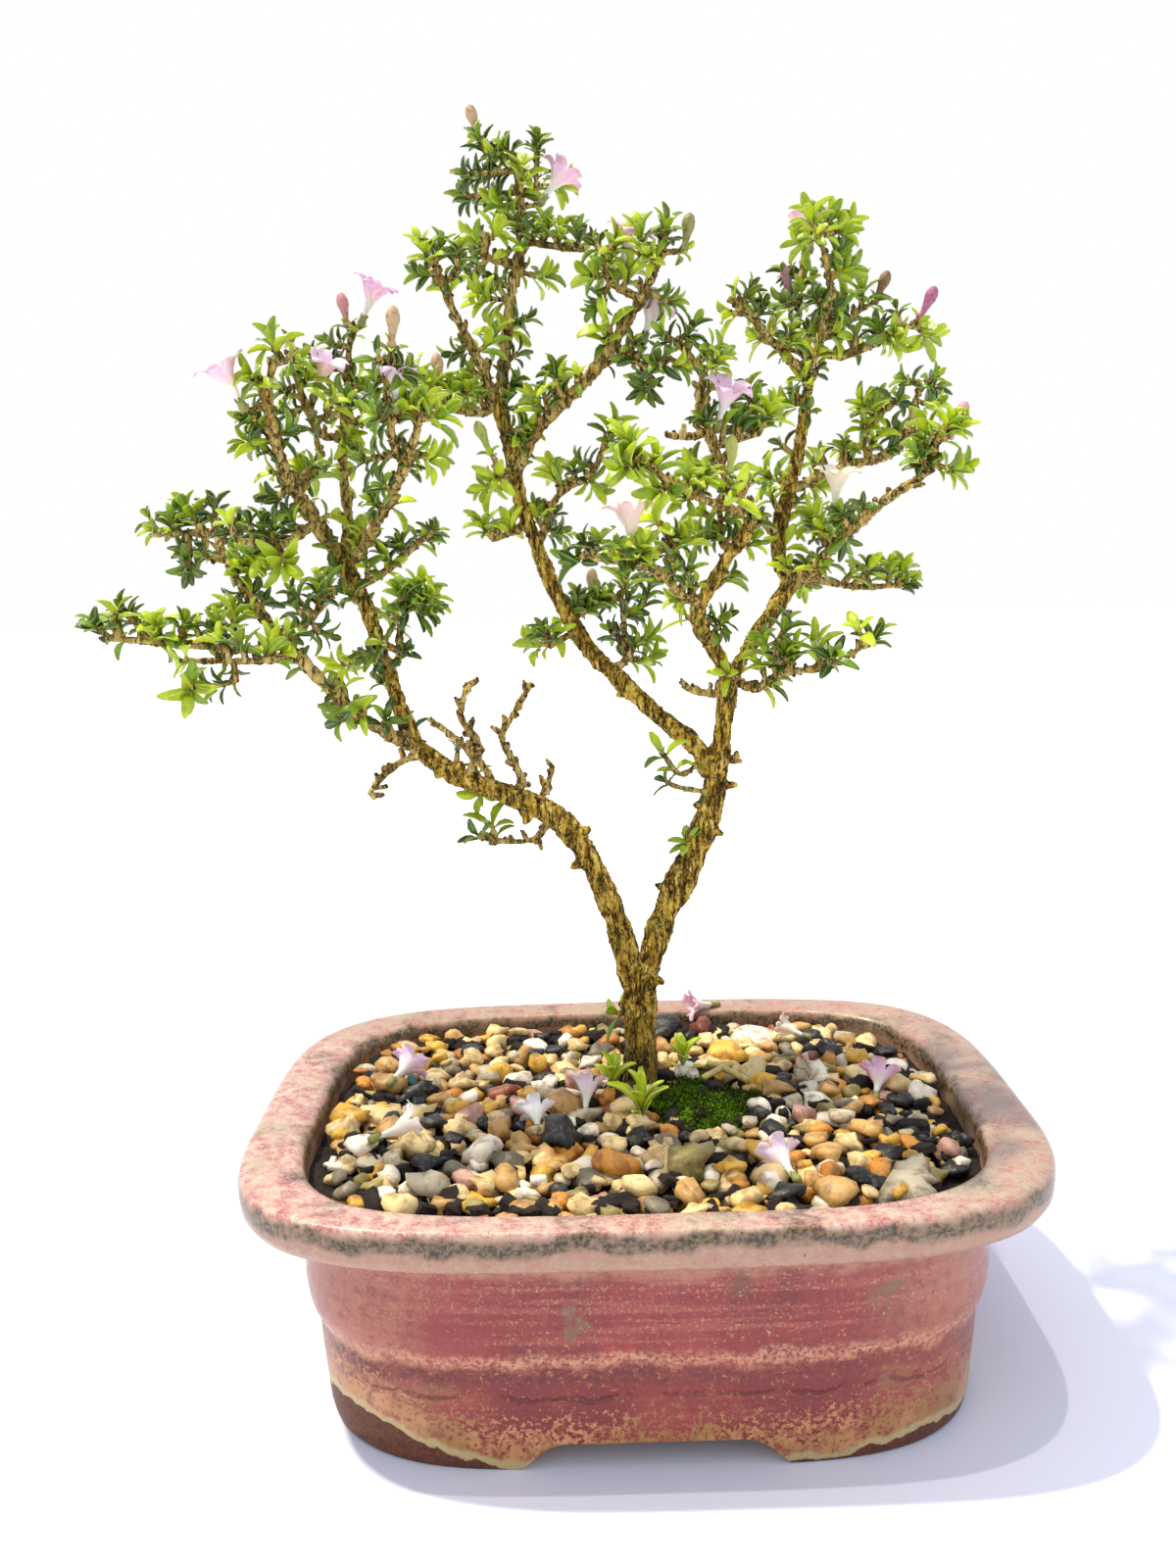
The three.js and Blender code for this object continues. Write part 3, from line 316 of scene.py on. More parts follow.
        # A pale speckled ridge, a rusty band under it, a dark groove lower down, and cream and yellow-green
        # specks that gather towards the glaze's lower edge
        rust = paint.add("Mix", paint.share((speckle, 0.4, 0.6)), "#5c1612", "#963e30")
        groove = paint.share(*self.band(level, *self.groove), (wander, 0.42, 0.52))
        above = paint.add("Math", level, self.clay_height(paint, across, back), operation="SUBTRACT")
        above = paint.add("Math", above, 0.0004, operation="SUBTRACT")
        crowd = paint.add("Math", speckle, paint.share((above, 0.016, 0.001, -0.1, 0.17)), operation="ADD")
        cream = paint.add("Mix", paint.share((clouds, 0.42, 0.6)), "#dcd2a0", "#b0b266")
        body = paint.layered(
            body,
            (rust, *self.band(level, *self.rust), (across, 0.04, -0.02, 0.45, 0.95), (mottle, 0.3, 0.52, 0.3, 1)),
            ("#e6d2b4", *self.band(level, *self.ridge), (speckle, 0.4, 0.56, 0.05, 1),
             (mottle, 0.3, 0.55, 0.4, 1)),
            ("#4a3a2c", groove, 0.7), (cream, (crowd, 0.5, 0.6), (mottle, 0.34, 0.56, 0.25, 1)))
        # A warm cast painted over the whole glaze, stronger towards the foot, is painted light: it cancels the cool
        # light that the room and the pale floor throw on the walls
        body = paint.layered(body, ("#e3cbc0", 1.0), ("#ffd3c1", (height, 0.042, 0.012, 0.25, 1)),
                             blend="MULTIPLY")
        # The rim: dusky pink with cream and dark pits, olive at the back, and a worn band under its bright edge
        far = paint.add("Math", paint.share((across, 0.03, 0.08)), paint.share((back, 0.02, 0.055)),
                        operation="MAXIMUM")
        rim = paint.layered(
            paint.add("ValToRGB", mottle,
                      stops=((0.3, "#a04a4e"), (0.43, "#b97f79"), (0.56, "#cbaa9a"), (0.72, "#d8c8ae"))),
            ("#d9bd9e", (dust, 0.5, 0.66, 0, 0.55)), ("#94403f", (speckle, 0.46, 0.34, 0, 0.6)),
            ("#c0b190", (clouds, 0.52, 0.7, 0, 0.7)), ("#8d8064", far, (mottle, 0.35, 0.6, 0.2, 0.6)))
        scuffs = paint.add("Mix", paint.share((speckle, 0.42, 0.6)), "#33281a", "#7a6642")
        clay = paint.add("ValToRGB", speckle, stops=((0.3, "#42200d"), (0.5, "#5e3017"), (0.7, "#774225")))
        bare = paint.share((above, 0.0001, -0.0003))
        body = paint.layered(
            body, (rim, (height, 0.0424, 0.0436)),
            ("#a88066", paint.share(*self.band(height, *self.rim_side)), (speckle, 0.3, 0.6, 0.45, 0.9)),
            (scuffs, *self.band(level, *self.rim_wear), (mottle, 0.68, 0.42, 0.5, 1)),
            ("#33241f", (pits, 0.73, 0.78)),
            ("#bfae78", (above, 0.0022, 0.0008), (above, -0.0006, 0.0001), 0.8), (clay, bare))
        gloss = paint.add("Mix", bare, paint.share((mottle, 0.3, 0.7, 0.24, 0.42)), (0.85, 0.85, 0.85, 1))
        lumps = paint.add("Math", paint.share(clouds, 0.5), paint.share(mottle, 0.5), operation="ADD")
        lumps = paint.add("Math", lumps, paint.share(groove, 0.8), operation="SUBTRACT")
        lumps = paint.add("Math", lumps, paint.share(dust, 0.2), operation="ADD")
        paint.surface(body, gloss, (lumps, 0.9, 0.6), {"Coat Weight": 0.2, "Coat Roughness": 0.15})


@dataclass(frozen=True)
class TintedStone(Finish):
    """River pebbles, each in its own colour, with grains and a dusty matte skin."""

    name: str = "tinted_stone"

    def cover(self, paint: Paint) -> None:
        """Paint the stone.

        Args:
            paint: The material's nodes.
        """
        place = paint.add("TexCoord", output="Object")
        grains = paint.add("TexNoise", place, per_mm(0.9), 4, 0.65)
        veins = paint.add("TexNoise", place, per_mm(3.2), 3, 0.6)
        body = paint.layered(paint.add("Attribute", attribute_name="tint"),
                             ("#efe0bf", (grains, 0.5, 0.75, 0, 0.18)))
        body = paint.layered(body, ("#8f7344", (veins, 0.54, 0.34, 0, 0.65)), blend="MULTIPLY")
        paint.surface(body, 0.42, (grains, 0.3, 0.6))


@dataclass(frozen=True)
class DampSoil(Finish):
    """Damp potting soil: brown-black crumbs with lighter fibres."""

    name: str = "damp_soil"

    def cover(self, paint: Paint) -> None:
        """Paint the soil.

        Args:
            paint: The material's nodes.
        """
        place = paint.add("TexCoord", output="Object")
        crumbs = paint.add("TexNoise", place, per_mm(2.1), 6, 0.75)
        fibres = paint.add("TexNoise", place, per_mm(0.7), 3, 0.6)
        body = paint.layered(
            paint.add("ValToRGB", crumbs,
                      stops=((0.3, "#0d0a08"), (0.5, "#1f1611"), (0.66, "#3c2c20"), (0.8, "#5f4a35"))),
            ("#7d6448", (fibres, 0.66, 0.78, 0, 0.5)))
        paint.surface(body, 0.9, (crumbs, 1.2, 0.9))


@dataclass(frozen=True)
class GreenMoss(Finish):
    """Moss: tiny bright tips over dark green and brown bases, with no gloss."""

    name: str = "green_moss"

    def cover(self, paint: Paint) -> None:
        """Paint the moss.

        Args:
            paint: The material's nodes.
        """
        place = paint.add("TexCoord", output="Object")
        tips = paint.add("TexNoise", place, per_mm(0.8), 5, 0.7)
        patches = paint.add("TexNoise", place, per_mm(5), 3, 0.6)
        body = paint.layered(
            paint.add("ValToRGB", tips,
                      stops=((0.36, "#161c02"), (0.48, "#33500a"), (0.6, "#668a10"), (0.74, "#b5cc34"))),
            ("#2a2010", (patches, 0.5, 0.6, 0, 0.85)))
        paint.surface(body, 0.95, (tips, 0.8, 0.9), {"Specular IOR Level": 0.1})


@dataclass(frozen=True)
class SerissaBark(Finish):
    """Serissa bark: thin khaki skin over brown, split lengthwise and speckled dark."""

    name: str = "serissa_bark"
    # From the dark splits to gold on the raised bark; the palest gold is partly the bark's own colour and partly a
    # painted highlight on the ridges
    stops: tuple[Stop, ...] = ((0.36, "#2c1c08"), (0.43, "#86651c"), (0.5, "#c99e2e"), (0.61, "#f6d76e"))
    patch: str = "#a89a3c"
    depth: float = 0.9

    def cover(self, paint: Paint) -> None:
        """Paint the bark: dark seams and crumbs, darker low down, painted shade in hollows, painted highlight on
        ridges.

        Args:
            paint: The material's nodes.
        """
        place = paint.add("TexCoord", output="Object")
        patches = paint.add("TexNoise", place, per_mm(6), 5, 0.65)
        flecks = paint.add("TexNoise", place, per_mm(0.8), 4, 0.75)
        # Splits and seams run up the wood, so their patterns are drawn out in height
        grain, long_grain = (paint.add("Mapping", place, UNMOVED, UNMOVED, (1, 1, squeeze))
                             for squeeze in (0.28, 0.16))
        splits = paint.add("TexNoise", grain, per_mm(1.5), 6, 0.72)
        seams = paint.add("Math", paint.add("TexNoise", long_grain, per_mm(1.9), 4, 0.6), 0.5,
                          operation="SUBTRACT")
        seams = paint.add("Math", seams, operation="ABSOLUTE")
        body = paint.layered(
            paint.add("ValToRGB", splits, stops=self.stops),
            (self.patch, (patches, 0.5, 0.68, 0, 0.6)), ("#463312", (patches, 0.42, 0.3, 0, 0.6)),
            ("#241705", (flecks, 0.57, 0.65, 0, 0.8)), ("#1e1204", (seams, 0.034, 0.008, 0, 0.9)),
            ("#38260f", (paint.add("Attribute", attribute_name="tone", output="Fac"), 0.2, 0.8, 0, 0.85)),
            # Painted shade in the hollows of the wood, found by its pointiness
            ("#291c0c", (paint.add("NewGeometry", output="Pointiness"), 0.5, 0.42, 0, 0.8)),
            # Darker low down, near the gravel
            ("#3a2b13", (paint.add("SeparateXYZ", place, output="Z"), 0.066, 0.05, 0, 0.6)))
        relief = paint.add("Math", splits, paint.share((seams, 0.05, 0.0, 0, 0.7)), operation="SUBTRACT")
        paint.surface(body, 0.75, (relief, self.depth, 0.9), {"Specular IOR Level": 0.25})


TWIG_BARK = SerissaBark("twig_bark", ((0.3, "#5b4314"), (0.42, "#a5873a"), (0.54, "#cdb062"), (0.72, "#ecd898")),
                        "#75561f", 0.5)


@dataclass(frozen=True)
class LeafBlade(Finish):
    """Serissa leaves: small and glossy, yellow-green when young and deep green when old, with a pale rib."""

    name: str = "leaf_blade"

    def cover(self, paint: Paint) -> None:
        """Paint the leaf by its age, which its tone gives.

        Args:
            paint: The material's nodes.
        """
        mottle = paint.add("TexNoise", paint.add("TexCoord", output="Object"), per_mm(2.4), 3, 0.55)
        age = paint.add("Attribute", attribute_name="tone", output="Fac")
        across = paint.add("SeparateXYZ", paint.add("UVMap", uv_map="UVMap"), output="X")
        off_rib = paint.add("Math", paint.add("Math", across, 0.5, operation="SUBTRACT"), operation="ABSOLUTE")
        rib = paint.share((off_rib, 0.09, 0.02, 0, 0.5))
        # The pale edges are a painted highlight; the pale rib and the dark mottle are the leaf's own
        body = paint.layered(
            paint.add("ValToRGB", age,
                      stops=((0.0, "#cbe224"), (0.3, "#bbd31c"), (0.6, "#80a61a"), (1.0, "#30540d"))),
            ("#b9cf52", rib), ("#2b4a0c", (mottle, 0.4, 0.7, 0, 0.3)), ("#b9c877", (off_rib, 0.42, 0.5, 0, 0.3)))
        paint.surface(body, 0.3, (paint.add("Math", rib, mottle, operation="ADD"), 0.12, 0.6),
                      {"Subsurface Weight": 0.12, "Subsurface Scale": 0.001})


@dataclass(frozen=True)
class Petal(Finish):
    """Thin serissa petals in each flower's own tint, white at the throat and streaked towards the tips."""

    name: str = "serissa_petal"

    def cover(self, paint: Paint) -> None:
        """Paint the petal by its tint and by how far out it is, which its tone gives.

        Args:
            paint: The material's nodes.
        """
        streaks = paint.add("TexNoise", paint.add("TexCoord", output="Object"), per_mm(0.9), 4, 0.6)
        reach = paint.add("Attribute", attribute_name="tone", output="Fac")
        body = paint.layered(paint.add("Attribute", attribute_name="tint"),
                             ("#f3ecd2", (reach, 0.7, 0.2, 0, 0.85)),
                             ("#f8eef0", (streaks, 0.5, 0.75, 0, 0.3)))
        paint.surface(body, 0.5, (streaks, 0.15, 0.6), {"Subsurface Weight": 0.25, "Subsurface Scale": 0.002})


@dataclass(frozen=True)
class TintedSkin(Finish):
    """Skin of buds, rootlets and dead leaves: one tint a piece, darker in its folds."""

    name: str = "tinted_skin"

    def cover(self, paint: Paint) -> None:
        """Paint the skin.

        Args:
            paint: The material's nodes.
        """
        folds = paint.add("TexNoise", paint.add("TexCoord", output="Object"), per_mm(1.1), 4, 0.65)
        tint = paint.add("Attribute", attribute_name="tint")
        body = paint.layered(tint, ("#6b4f33", (folds, 0.5, 0.3, 0, 0.6)), blend="MULTIPLY")
        paint.surface(paint.layered(body, ("#efe3c4", (folds, 0.6, 0.8, 0, 0.3))), 0.55, (folds, 0.25, 0.7))


@dataclass(frozen=True)
class ScreenPlastic(Finish):
    """Moulded drain screen plastic: dark grey, dull, dusted with lime and soil."""

    name: str = "screen_plastic"

    def cover(self, paint: Paint) -> None:
        """Paint the plastic.

        Args:
            paint: The material's nodes.
        """
        dust = paint.add("TexNoise", paint.add("TexCoord", output="Object"), per_mm(3), 5, 0.65)
        body = paint.add("ValToRGB", dust, stops=((0.35, "#26282a"), (0.6, "#3c3d3c"), (0.8, "#7a7263")))
        paint.surface(body, paint.share((dust, 0.3, 0.8, 0.45, 0.8)), (dust, 0.15, 0.4))


@dataclass(frozen=True)
class PaleTable(Finish):
    """A pale laminate table top, almost without gloss."""

    name: str = "pale_table"

    def cover(self, paint: Paint) -> None:
        """Paint the table top.

        Args:
            paint: The material's nodes.
        """
        clouds = paint.add("TexNoise", paint.add("TexCoord", output="Object"), per_mm(90), 2, 0.55)
        paint.surface(paint.add("Mix", clouds, "#e7edfb", "#ecf1fd"), 0.75, own={"Specular IOR Level": 0.2})


# Mesh helpers


def shown(name: str, data: bpy.types.ID) -> bpy.types.Object:
    """Stand a mesh, a curve, a lamp or a camera in the scene.

    Args:
        name: The object's name.
        data: What it shows.

    Returns:
        The new object.
    """
    thing = bpy.data.objects.new(name, data)
    bpy.context.scene.collection.objects.link(thing)
    return thing


def evaluated(thing: bpy.types.Object) -> bpy.types.Mesh:
    """Take an object out of the scene and keep its shape, with its modifiers applied, as a new mesh.

    Args:
        thing: The object.

    Returns:
        The mesh.
    """
    result = bpy.data.meshes.new_from_object(thing.evaluated_get(bpy.context.evaluated_depsgraph_get()))
    bpy.data.objects.remove(thing)
    return result


def applied(mesh: bpy.types.Mesh, *modifiers: tuple[str, dict]) -> bpy.types.Mesh:
    """Run modifiers on a mesh and keep only their result.

    Args:
        mesh: The mesh to start from.
        *modifiers: Each modifier's type with its settings.

    Returns:
        A new mesh.
    """
    work = shown("work", mesh)
    for kind, settings in modifiers:
        modifier = work.modifiers.new(kind.title(), kind)
        for key, value in settings.items():
            setattr(modifier, key, value)
    return evaluated(work)


def as_mesh(bm: bmesh.types.BMesh, name: str) -> bpy.types.Mesh:
    """Turn a bmesh into a mesh, and free it.

    Args:
        bm: The bmesh.
        name: The mesh's name.

    Returns:
        The mesh.
    """
    mesh = bpy.data.meshes.new(name)
    bm.to_mesh(mesh)
    bm.free()
    return mesh


def reopened(mesh: bpy.types.Mesh) -> bmesh.types.BMesh:
    """Return a mesh as a bmesh that can be shaped further."""
    bm = bmesh.new()
    bm.from_mesh(mesh)
    return bm


def dressed(mesh: bpy.types.Mesh, finish: Finish) -> None:
    """Give a mesh one finish in place of any other."""
    mesh.materials.clear()
    mesh.materials.append(finish.material())


def middle_of(node: str) -> Vector:
    """Return the middle of a CAD node's box, in millimetres."""
    low, high = (Vector(corner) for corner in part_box(node))
    return ((low + high) / 2 - SHIFT) * 1000


def swelling(cosine: float, sine: float) -> float:
    """Return how far a round plan swells towards its corners to become the pot's rounded oblong."""
    return (abs(cosine) ** ROUNDNESS + abs(sine) ** ROUNDNESS) ** (-1 / ROUNDNESS)


def piece(name: str, mesh: bpy.types.Mesh, finish: Finish, slot: str, *nodes: str, smooth: bool = True) -> None:
    """Stand a finished mesh in the scene as a piece of the object, inside the CAD's box.

    Args:
        name: The piece's name.
        mesh: Its mesh, in millimetres.
        finish: Its finish.
        slot: The record's material slot; not used.
        *nodes: The CAD nodes that it stands for.
        smooth: Whether its faces are shaded smooth.
    """
    mesh.transform(TO_ROW_FRAME)
    for vertex in mesh.vertices:
        spans = list(zip(BOX_LOW, vertex.co, BOX_HIGH))
        if any(not low < value < high for low, value, high in spans):
            vertex.co = [min(max(value, low), high) for low, value, high in spans]
    mesh.name = name
    dressed(mesh, finish)
    mesh.polygons.foreach_set("use_smooth", [smooth] * len(mesh.polygons))
    thing = shown(name, mesh)
    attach(thing, "root")
    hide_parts(*nodes)
    triangles = sum(len(face.vertices) - 2 for face in mesh.polygons)
    logging.info("%s: %d triangles", name, triangles)


def stamp(bm: bmesh.types.BMesh, template: bpy.types.Mesh, matrix: Matrix, tone: float | None = None,
          tint: Colour | None = None) -> None:
    """Add a copy of a template to a mesh in the making.

    Args:
        bm: The mesh in the making.
        template: What is repeated.
        matrix: Where the copy goes.
        tone: The copy's tone, if the template's own isn't kept.
        tint: The copy's tint.
    """
    first = len(bm.verts)
    bm.from_mesh(template)
    tones = bm.verts.layers.float.get("tone") or bm.verts.layers.float.new("tone")
    tints = bm.verts.layers.float_color.get("tint") or bm.verts.layers.float_color.new("tint")
    bm.verts.ensure_lookup_table()
    copied = bm.verts[first:]
    bmesh.ops.transform(bm, matrix=matrix, verts=copied)
    for vertex in copied:
        if tone is not None:
            vertex[tones] = tone
        if tint is not None:
            vertex[tints] = tint


def facing_matrix(foot: Vector, forward: Vector, up: Vector, size: Vector) -> Matrix:
    """Place a template whose length runs along Y and whose upper side faces Z.

    Args:
        foot: Where its origin goes.
        forward: Where its length points.
        up: Roughly where its upper side faces.
        size: Its width, length and height factors.

    Returns:
        The matrix.
    """
    y = forward.normalized()
    x = y.cross(up).normalized()
    z = x.cross(y)
    turn = Matrix((x, y, z)).transposed().to_4x4()
    return Matrix.Translation(foot) @ turn @ Matrix.Diagonal((*size, 1))


def standing_matrix(foot: Vector, facing: Vector, size: float = 1.0, turn: float = 0.0) -> Matrix:
    """Place a template that stands along Z so that it points along a direction.

    Args:
        foot: Where its origin goes.
        facing: Where it points.
        size: Its scale.
        turn: Its turn about its own axis.

    Returns:
        The matrix.
    """
    quaternion = UP.rotation_difference(facing.normalized())
    return (Matrix.Translation(foot) @ quaternion.to_matrix().to_4x4() @ Matrix.Rotation(turn, 4, "Z")
            @ Matrix.Scale(size, 4))


def spun(profile: Sequence[tuple[float, float]], steps: int) -> bmesh.types.BMesh:
    """Spin a profile of radius and height about Z.

    Args:
        profile: The profile's points.
        steps: How many steps make the full turn.

    Returns:
        The spun mesh in the making.
    """
    bm = bmesh.new()
    points = [bm.verts.new((radius, 0, height)) for radius, height in profile]
    edges = [bm.edges.new(pair) for pair in zip(points, points[1:])]
    bmesh.ops.spin(bm, geom=points + edges, cent=(0, 0, 0), axis=(0, 0, 1), angle=2 * math.pi, steps=steps,
                   use_merge=True)
    bmesh.ops.remove_doubles(bm, verts=bm.verts, dist=1e-5)
    bmesh.ops.dissolve_degenerate(bm, edges=bm.edges, dist=1e-6)
    bmesh.ops.recalc_face_normals(bm, faces=bm.faces)
    return bm


def rough(bm: bmesh.types.BMesh, size: float, depth: float, seed: float = 0.0) -> None:
    """Push a mesh in the making in and out by a cloudy pattern.

    Args:
        bm: The mesh in the making.
        size: The pattern's size in millimetres.
        depth: The furthest push in millimetres.
        seed: Shifts the pattern.
    """
    bm.normal_update()
    for vertex in bm.verts:
        at = vertex.co / size + Vector((seed, 0.37 * seed, 0))
        vertex.co += vertex.normal * depth * noise.noise(at)


def smoothed(rows: Sequence[Row], step: float) -> Course:
    """Round a polyline off as a Catmull-Rom curve.

    Args:
        rows: Points of three places and a radius.
        step: The distance between points of the result.

    Returns:
        Points of three places and a radius.
    """
    knots = [Vector(row) for row in rows]
    knots = [2 * knots[0] - knots[1], *knots, 2 * knots[-1] - knots[-2]]
    points = []
    for before, start, end, after in zip(knots, knots[1:], knots[2:], knots[3:]):
        count = max(1, round((end - start).to_3d().length / step))
        for i in range(count):
            t = i / count
            points.append(0.5 * (2 * start + (end - before) * t + (2 * before - 5 * start + 4 * end - after) * t * t
                                 + (3 * start - before - 3 * end + after) * t ** 3))
    return [*points, knots[-2]]


def tubes(paths: Sequence[Sequence[Vector]], resolution: int) -> bpy.types.Mesh:
    """Make round wood along curves.

    Args:
        paths: Points of three places and a radius.
        resolution: Blender's bevel resolution of the round.

    Returns:
        One mesh of closed tubes.
    """
    curve = bpy.data.curves.new("wood", "CURVE")
    curve.dimensions = "3D"
    curve.bevel_depth = 1
    curve.bevel_resolution = resolution
    curve.use_fill_caps = True
    for path in paths:
        spline = curve.splines.new("POLY")
        spline.points.add(len(path) - 1)
        for point, (x, y, z, radius) in zip(spline.points, path):
            point.co = (x, y, z, 1)
            point.radius = radius
    bm = reopened(evaluated(shown("wood", curve)))
    bpy.data.curves.remove(curve)
    bmesh.ops.remove_doubles(bm, verts=bm.verts, dist=1e-4)
    bmesh.ops.recalc_face_normals(bm, faces=bm.faces)
    return as_mesh(bm, "wood")


# The tree's paths: rows of [across, up, back, radius] as seen from the front

TRUNK: Path = ((1, 34, 0, 3.4), (1, 44, 0, 4.2), (1, 49, 0, 4.3), (1.2, 56, 0, 3.7), (1.2, 62.5, 0, 3.7),
  (1.2, 65.5, 0, 4.4), (1.4, 69, 0, 4.1), (1.4, 73, 0, 3.9), (1.2, 77, 0, 2.2))
LIMBS: tuple[Path, ...] = (
  ((0.4, 68, 0, 2.6), (-2.2, 81, -1, 2.9), (-5, 90, -2, 2.8), (-8.6, 99, -3, 2.6), (-11.5, 104.5, -3.5, 2.7),
    (-15, 109, -4, 2.7), (-20, 113, -4.5, 2.5), (-31.5, 118, -5.5, 2.2), (-39, 121.2, -6, 2.1),
    (-47, 127, -6, 2.2)),
  ((-46.5, 126, -6, 1.9), (-49.5, 133, -5, 1.8), (-53, 145, -3, 1.7), (-57, 159, 0, 1.7), (-60, 166, 1, 1.9),
    (-62, 171, 2, 2)),
  ((1.8, 69, 0, 2.8), (5.2, 82, 1, 3), (7.3, 88, 2, 3.2), (13, 100, 4, 3.1), (17.5, 111, 4, 3),
    (19.6, 122.5, 3, 2.7), (20.7, 129, 2, 2.2), (22.4, 143, 0, 2.4)),
  ((18.5, 119.5, 2, 2), (14, 127, 2.5, 2.2), (8, 132, 4, 2.1), (-4, 143.5, 7, 2), (-9, 149, 8.5, 2),
    (-15.5, 161, 10.5, 1.8), (-22, 179, 12, 1.6), (-24, 190.5, 12, 1.7), (-26.7, 202, 12, 2)),
  ((22.2, 141, 0, 1.7), (19, 147.5, -3, 1.7), (16.3, 152, -6, 1.8), (15.8, 156.5, -8, 1.6),
    (21.2, 166, -9, 1.4), (25, 171.3, -10, 1.4), (28.7, 177, -11, 1.7)),
  ((22.8, 141.5, 0, 1.8), (27.3, 149, 3, 1.7), (35.2, 161.2, 6, 2), (33.5, 166, 7, 1.7), (33, 172, 8, 1.7),
    (36, 184, 10, 1.6), (38.2, 194, 10, 1.4), (39.6, 205, 10, 1.1)),
)

class Kind(Enum):
    """What a part of the growth is."""

    LIMB = "limb"
    STEM = "stem"
    OLD = "old"
    YOUNG = "young"
    BARE = "bare"
    BUD = "bud"
    BLOOM = "bloom"


class BudSkin(Enum):
    """The tints of closed buds."""

    ROSY = "#c98c86"
    TAN = "#c2a377"
    PEACH = "#d3a988"
    LIME = "#b3b95c"
    OLIVE = "#8f8a4a"
    DUSKY = "#b5808a"
    MAGENTA = "#a8607c"
    PINK = "#cf93a5"
    BROWN = "#87643f"


@dataclass(frozen=True)
class Part:
    """One part of the growth with the way that it runs, as seen from the front."""

    kind: Kind
    path: Path
    facing: Row = ()
    name: str = ""
    skin: BudSkin = BudSkin.TAN


def limb(*path: Row) -> Part:
    """Return a thick part with its own radii."""
    return Part(Kind.LIMB, path)


def stem(*path: Row) -> Part:
    """Return a thin part that carries others."""
    return Part(Kind.STEM, path)


def old(*path: Row) -> Part:
    """Return a twig with dark leaves."""
    return Part(Kind.OLD, path)


def young(*path: Row) -> Part:
    """Return a twig with bright leaves."""
    return Part(Kind.YOUNG, path)


def bare(*path: Row) -> Part:
    """Return a twig without leaves."""
    return Part(Kind.BARE, path)


def bud(skin: BudSkin, facing: Row, *path: Row) -> Part:
    """Return a twig with a closed bud."""
    return Part(Kind.BUD, path, facing, skin=skin)


def bloom(name: str, facing: Row, *path: Row) -> Part:
    """Return a twig with an open flower."""
    return Part(Kind.BLOOM, path, facing, name)


# Stubs of cut twigs on the thick wood: [across, up, back, radius]
KNOTS: Path = ((-3.6, 66.2, -1, 1.3), (6.6, 71.6, -2, 1.2), (-4.8, 84.5, -3, 1.1), (2.4, 80, 1, 1),
               (12.6, 91, 1, 1.2), (5.2, 94.8, 0, 1), (-13.8, 99, -5, 1.2), (-9.4, 108.6, -5, 1.1),
               (20.6, 106, 2, 1.2), (14.2, 113, 2, 1.1), (-24, 109.5, -6, 1.3), (-37.6, 123.8, -8, 1.2),
               (-43.5, 120.6, -8, 1.1), (24, 117, 3, 1), (4.4, 45.5, -1.4, 1.2), (-2.8, 47, -1.6, 1.3),
               (1.2, 52, -2.6, 1), (-2.4, 137.5, 5, 1), (-12.4, 155.6, 8, 1), (-24.4, 184, 10, 0.9))

# What grows straight out of the thick wood
TRUNK_GROWTH: tuple[Part, ...] = (
  bare((-52, 123.8), (-57.8, 118.4), (-57.3, 116.5)), bare((-24.5, 120), (-28.3, 129), (-25.3, 135), (-21.6, 141)),
  bare((-18.6, 118.5), (-17.2, 122.6)),
  bare((-31.3, 120.7), (-37.8, 128.4), (-44.3, 133.9)), bare((-33.5, 127.5), (-37.2, 133.9), (-35.6, 141.5)),
  bare((-24, 119.5), (-26.5, 124)), bare((14.3, 138.6), (12, 140)), bare((24.9, 122.6)),
  old((-60.3, 166.6), (-62.5, 167)), old((-11.7, 157.3)), young((13, 104.2)),
  old((11, 117), (8, 118.3)), young((11.3, 120), (7.4, 124.6)), young((-3.9, 64.4)), young((31, 184.3)),
  young((35.3, 199.5)), young((-34, 116.3)), stem((-22, 106, -4), (-30.5, 105.8, -5)), young((-31.4, 109.5)),
  old((-34.5, 107)), young((-63.3, 146)), old((-56.9, 148.2)), old((20.7, 154.2)), young((-21.5, 195.6)),
  stem((-28.6, 172.6, 8)), young((-25.2, 175)), young((-30.6, 175.4)),
  stem((-27, 185.8, 8), (-27.7, 189.4, 7)), young((-29.6, 183.6)), bud(BudSkin.LIME, (-0.4, 1, 0), (-28.7, 190.8)),
  stem((-16.6, 149.6, 5)), old((-18, 152)), young((-20.5, 149.7)),
  stem((-8.4, 157.6, 13)), young((-6.3, 159.2)), old((-10.4, 159.3)), bud(BudSkin.TAN, (0.1, 1, 0), (-8, 159)),
)

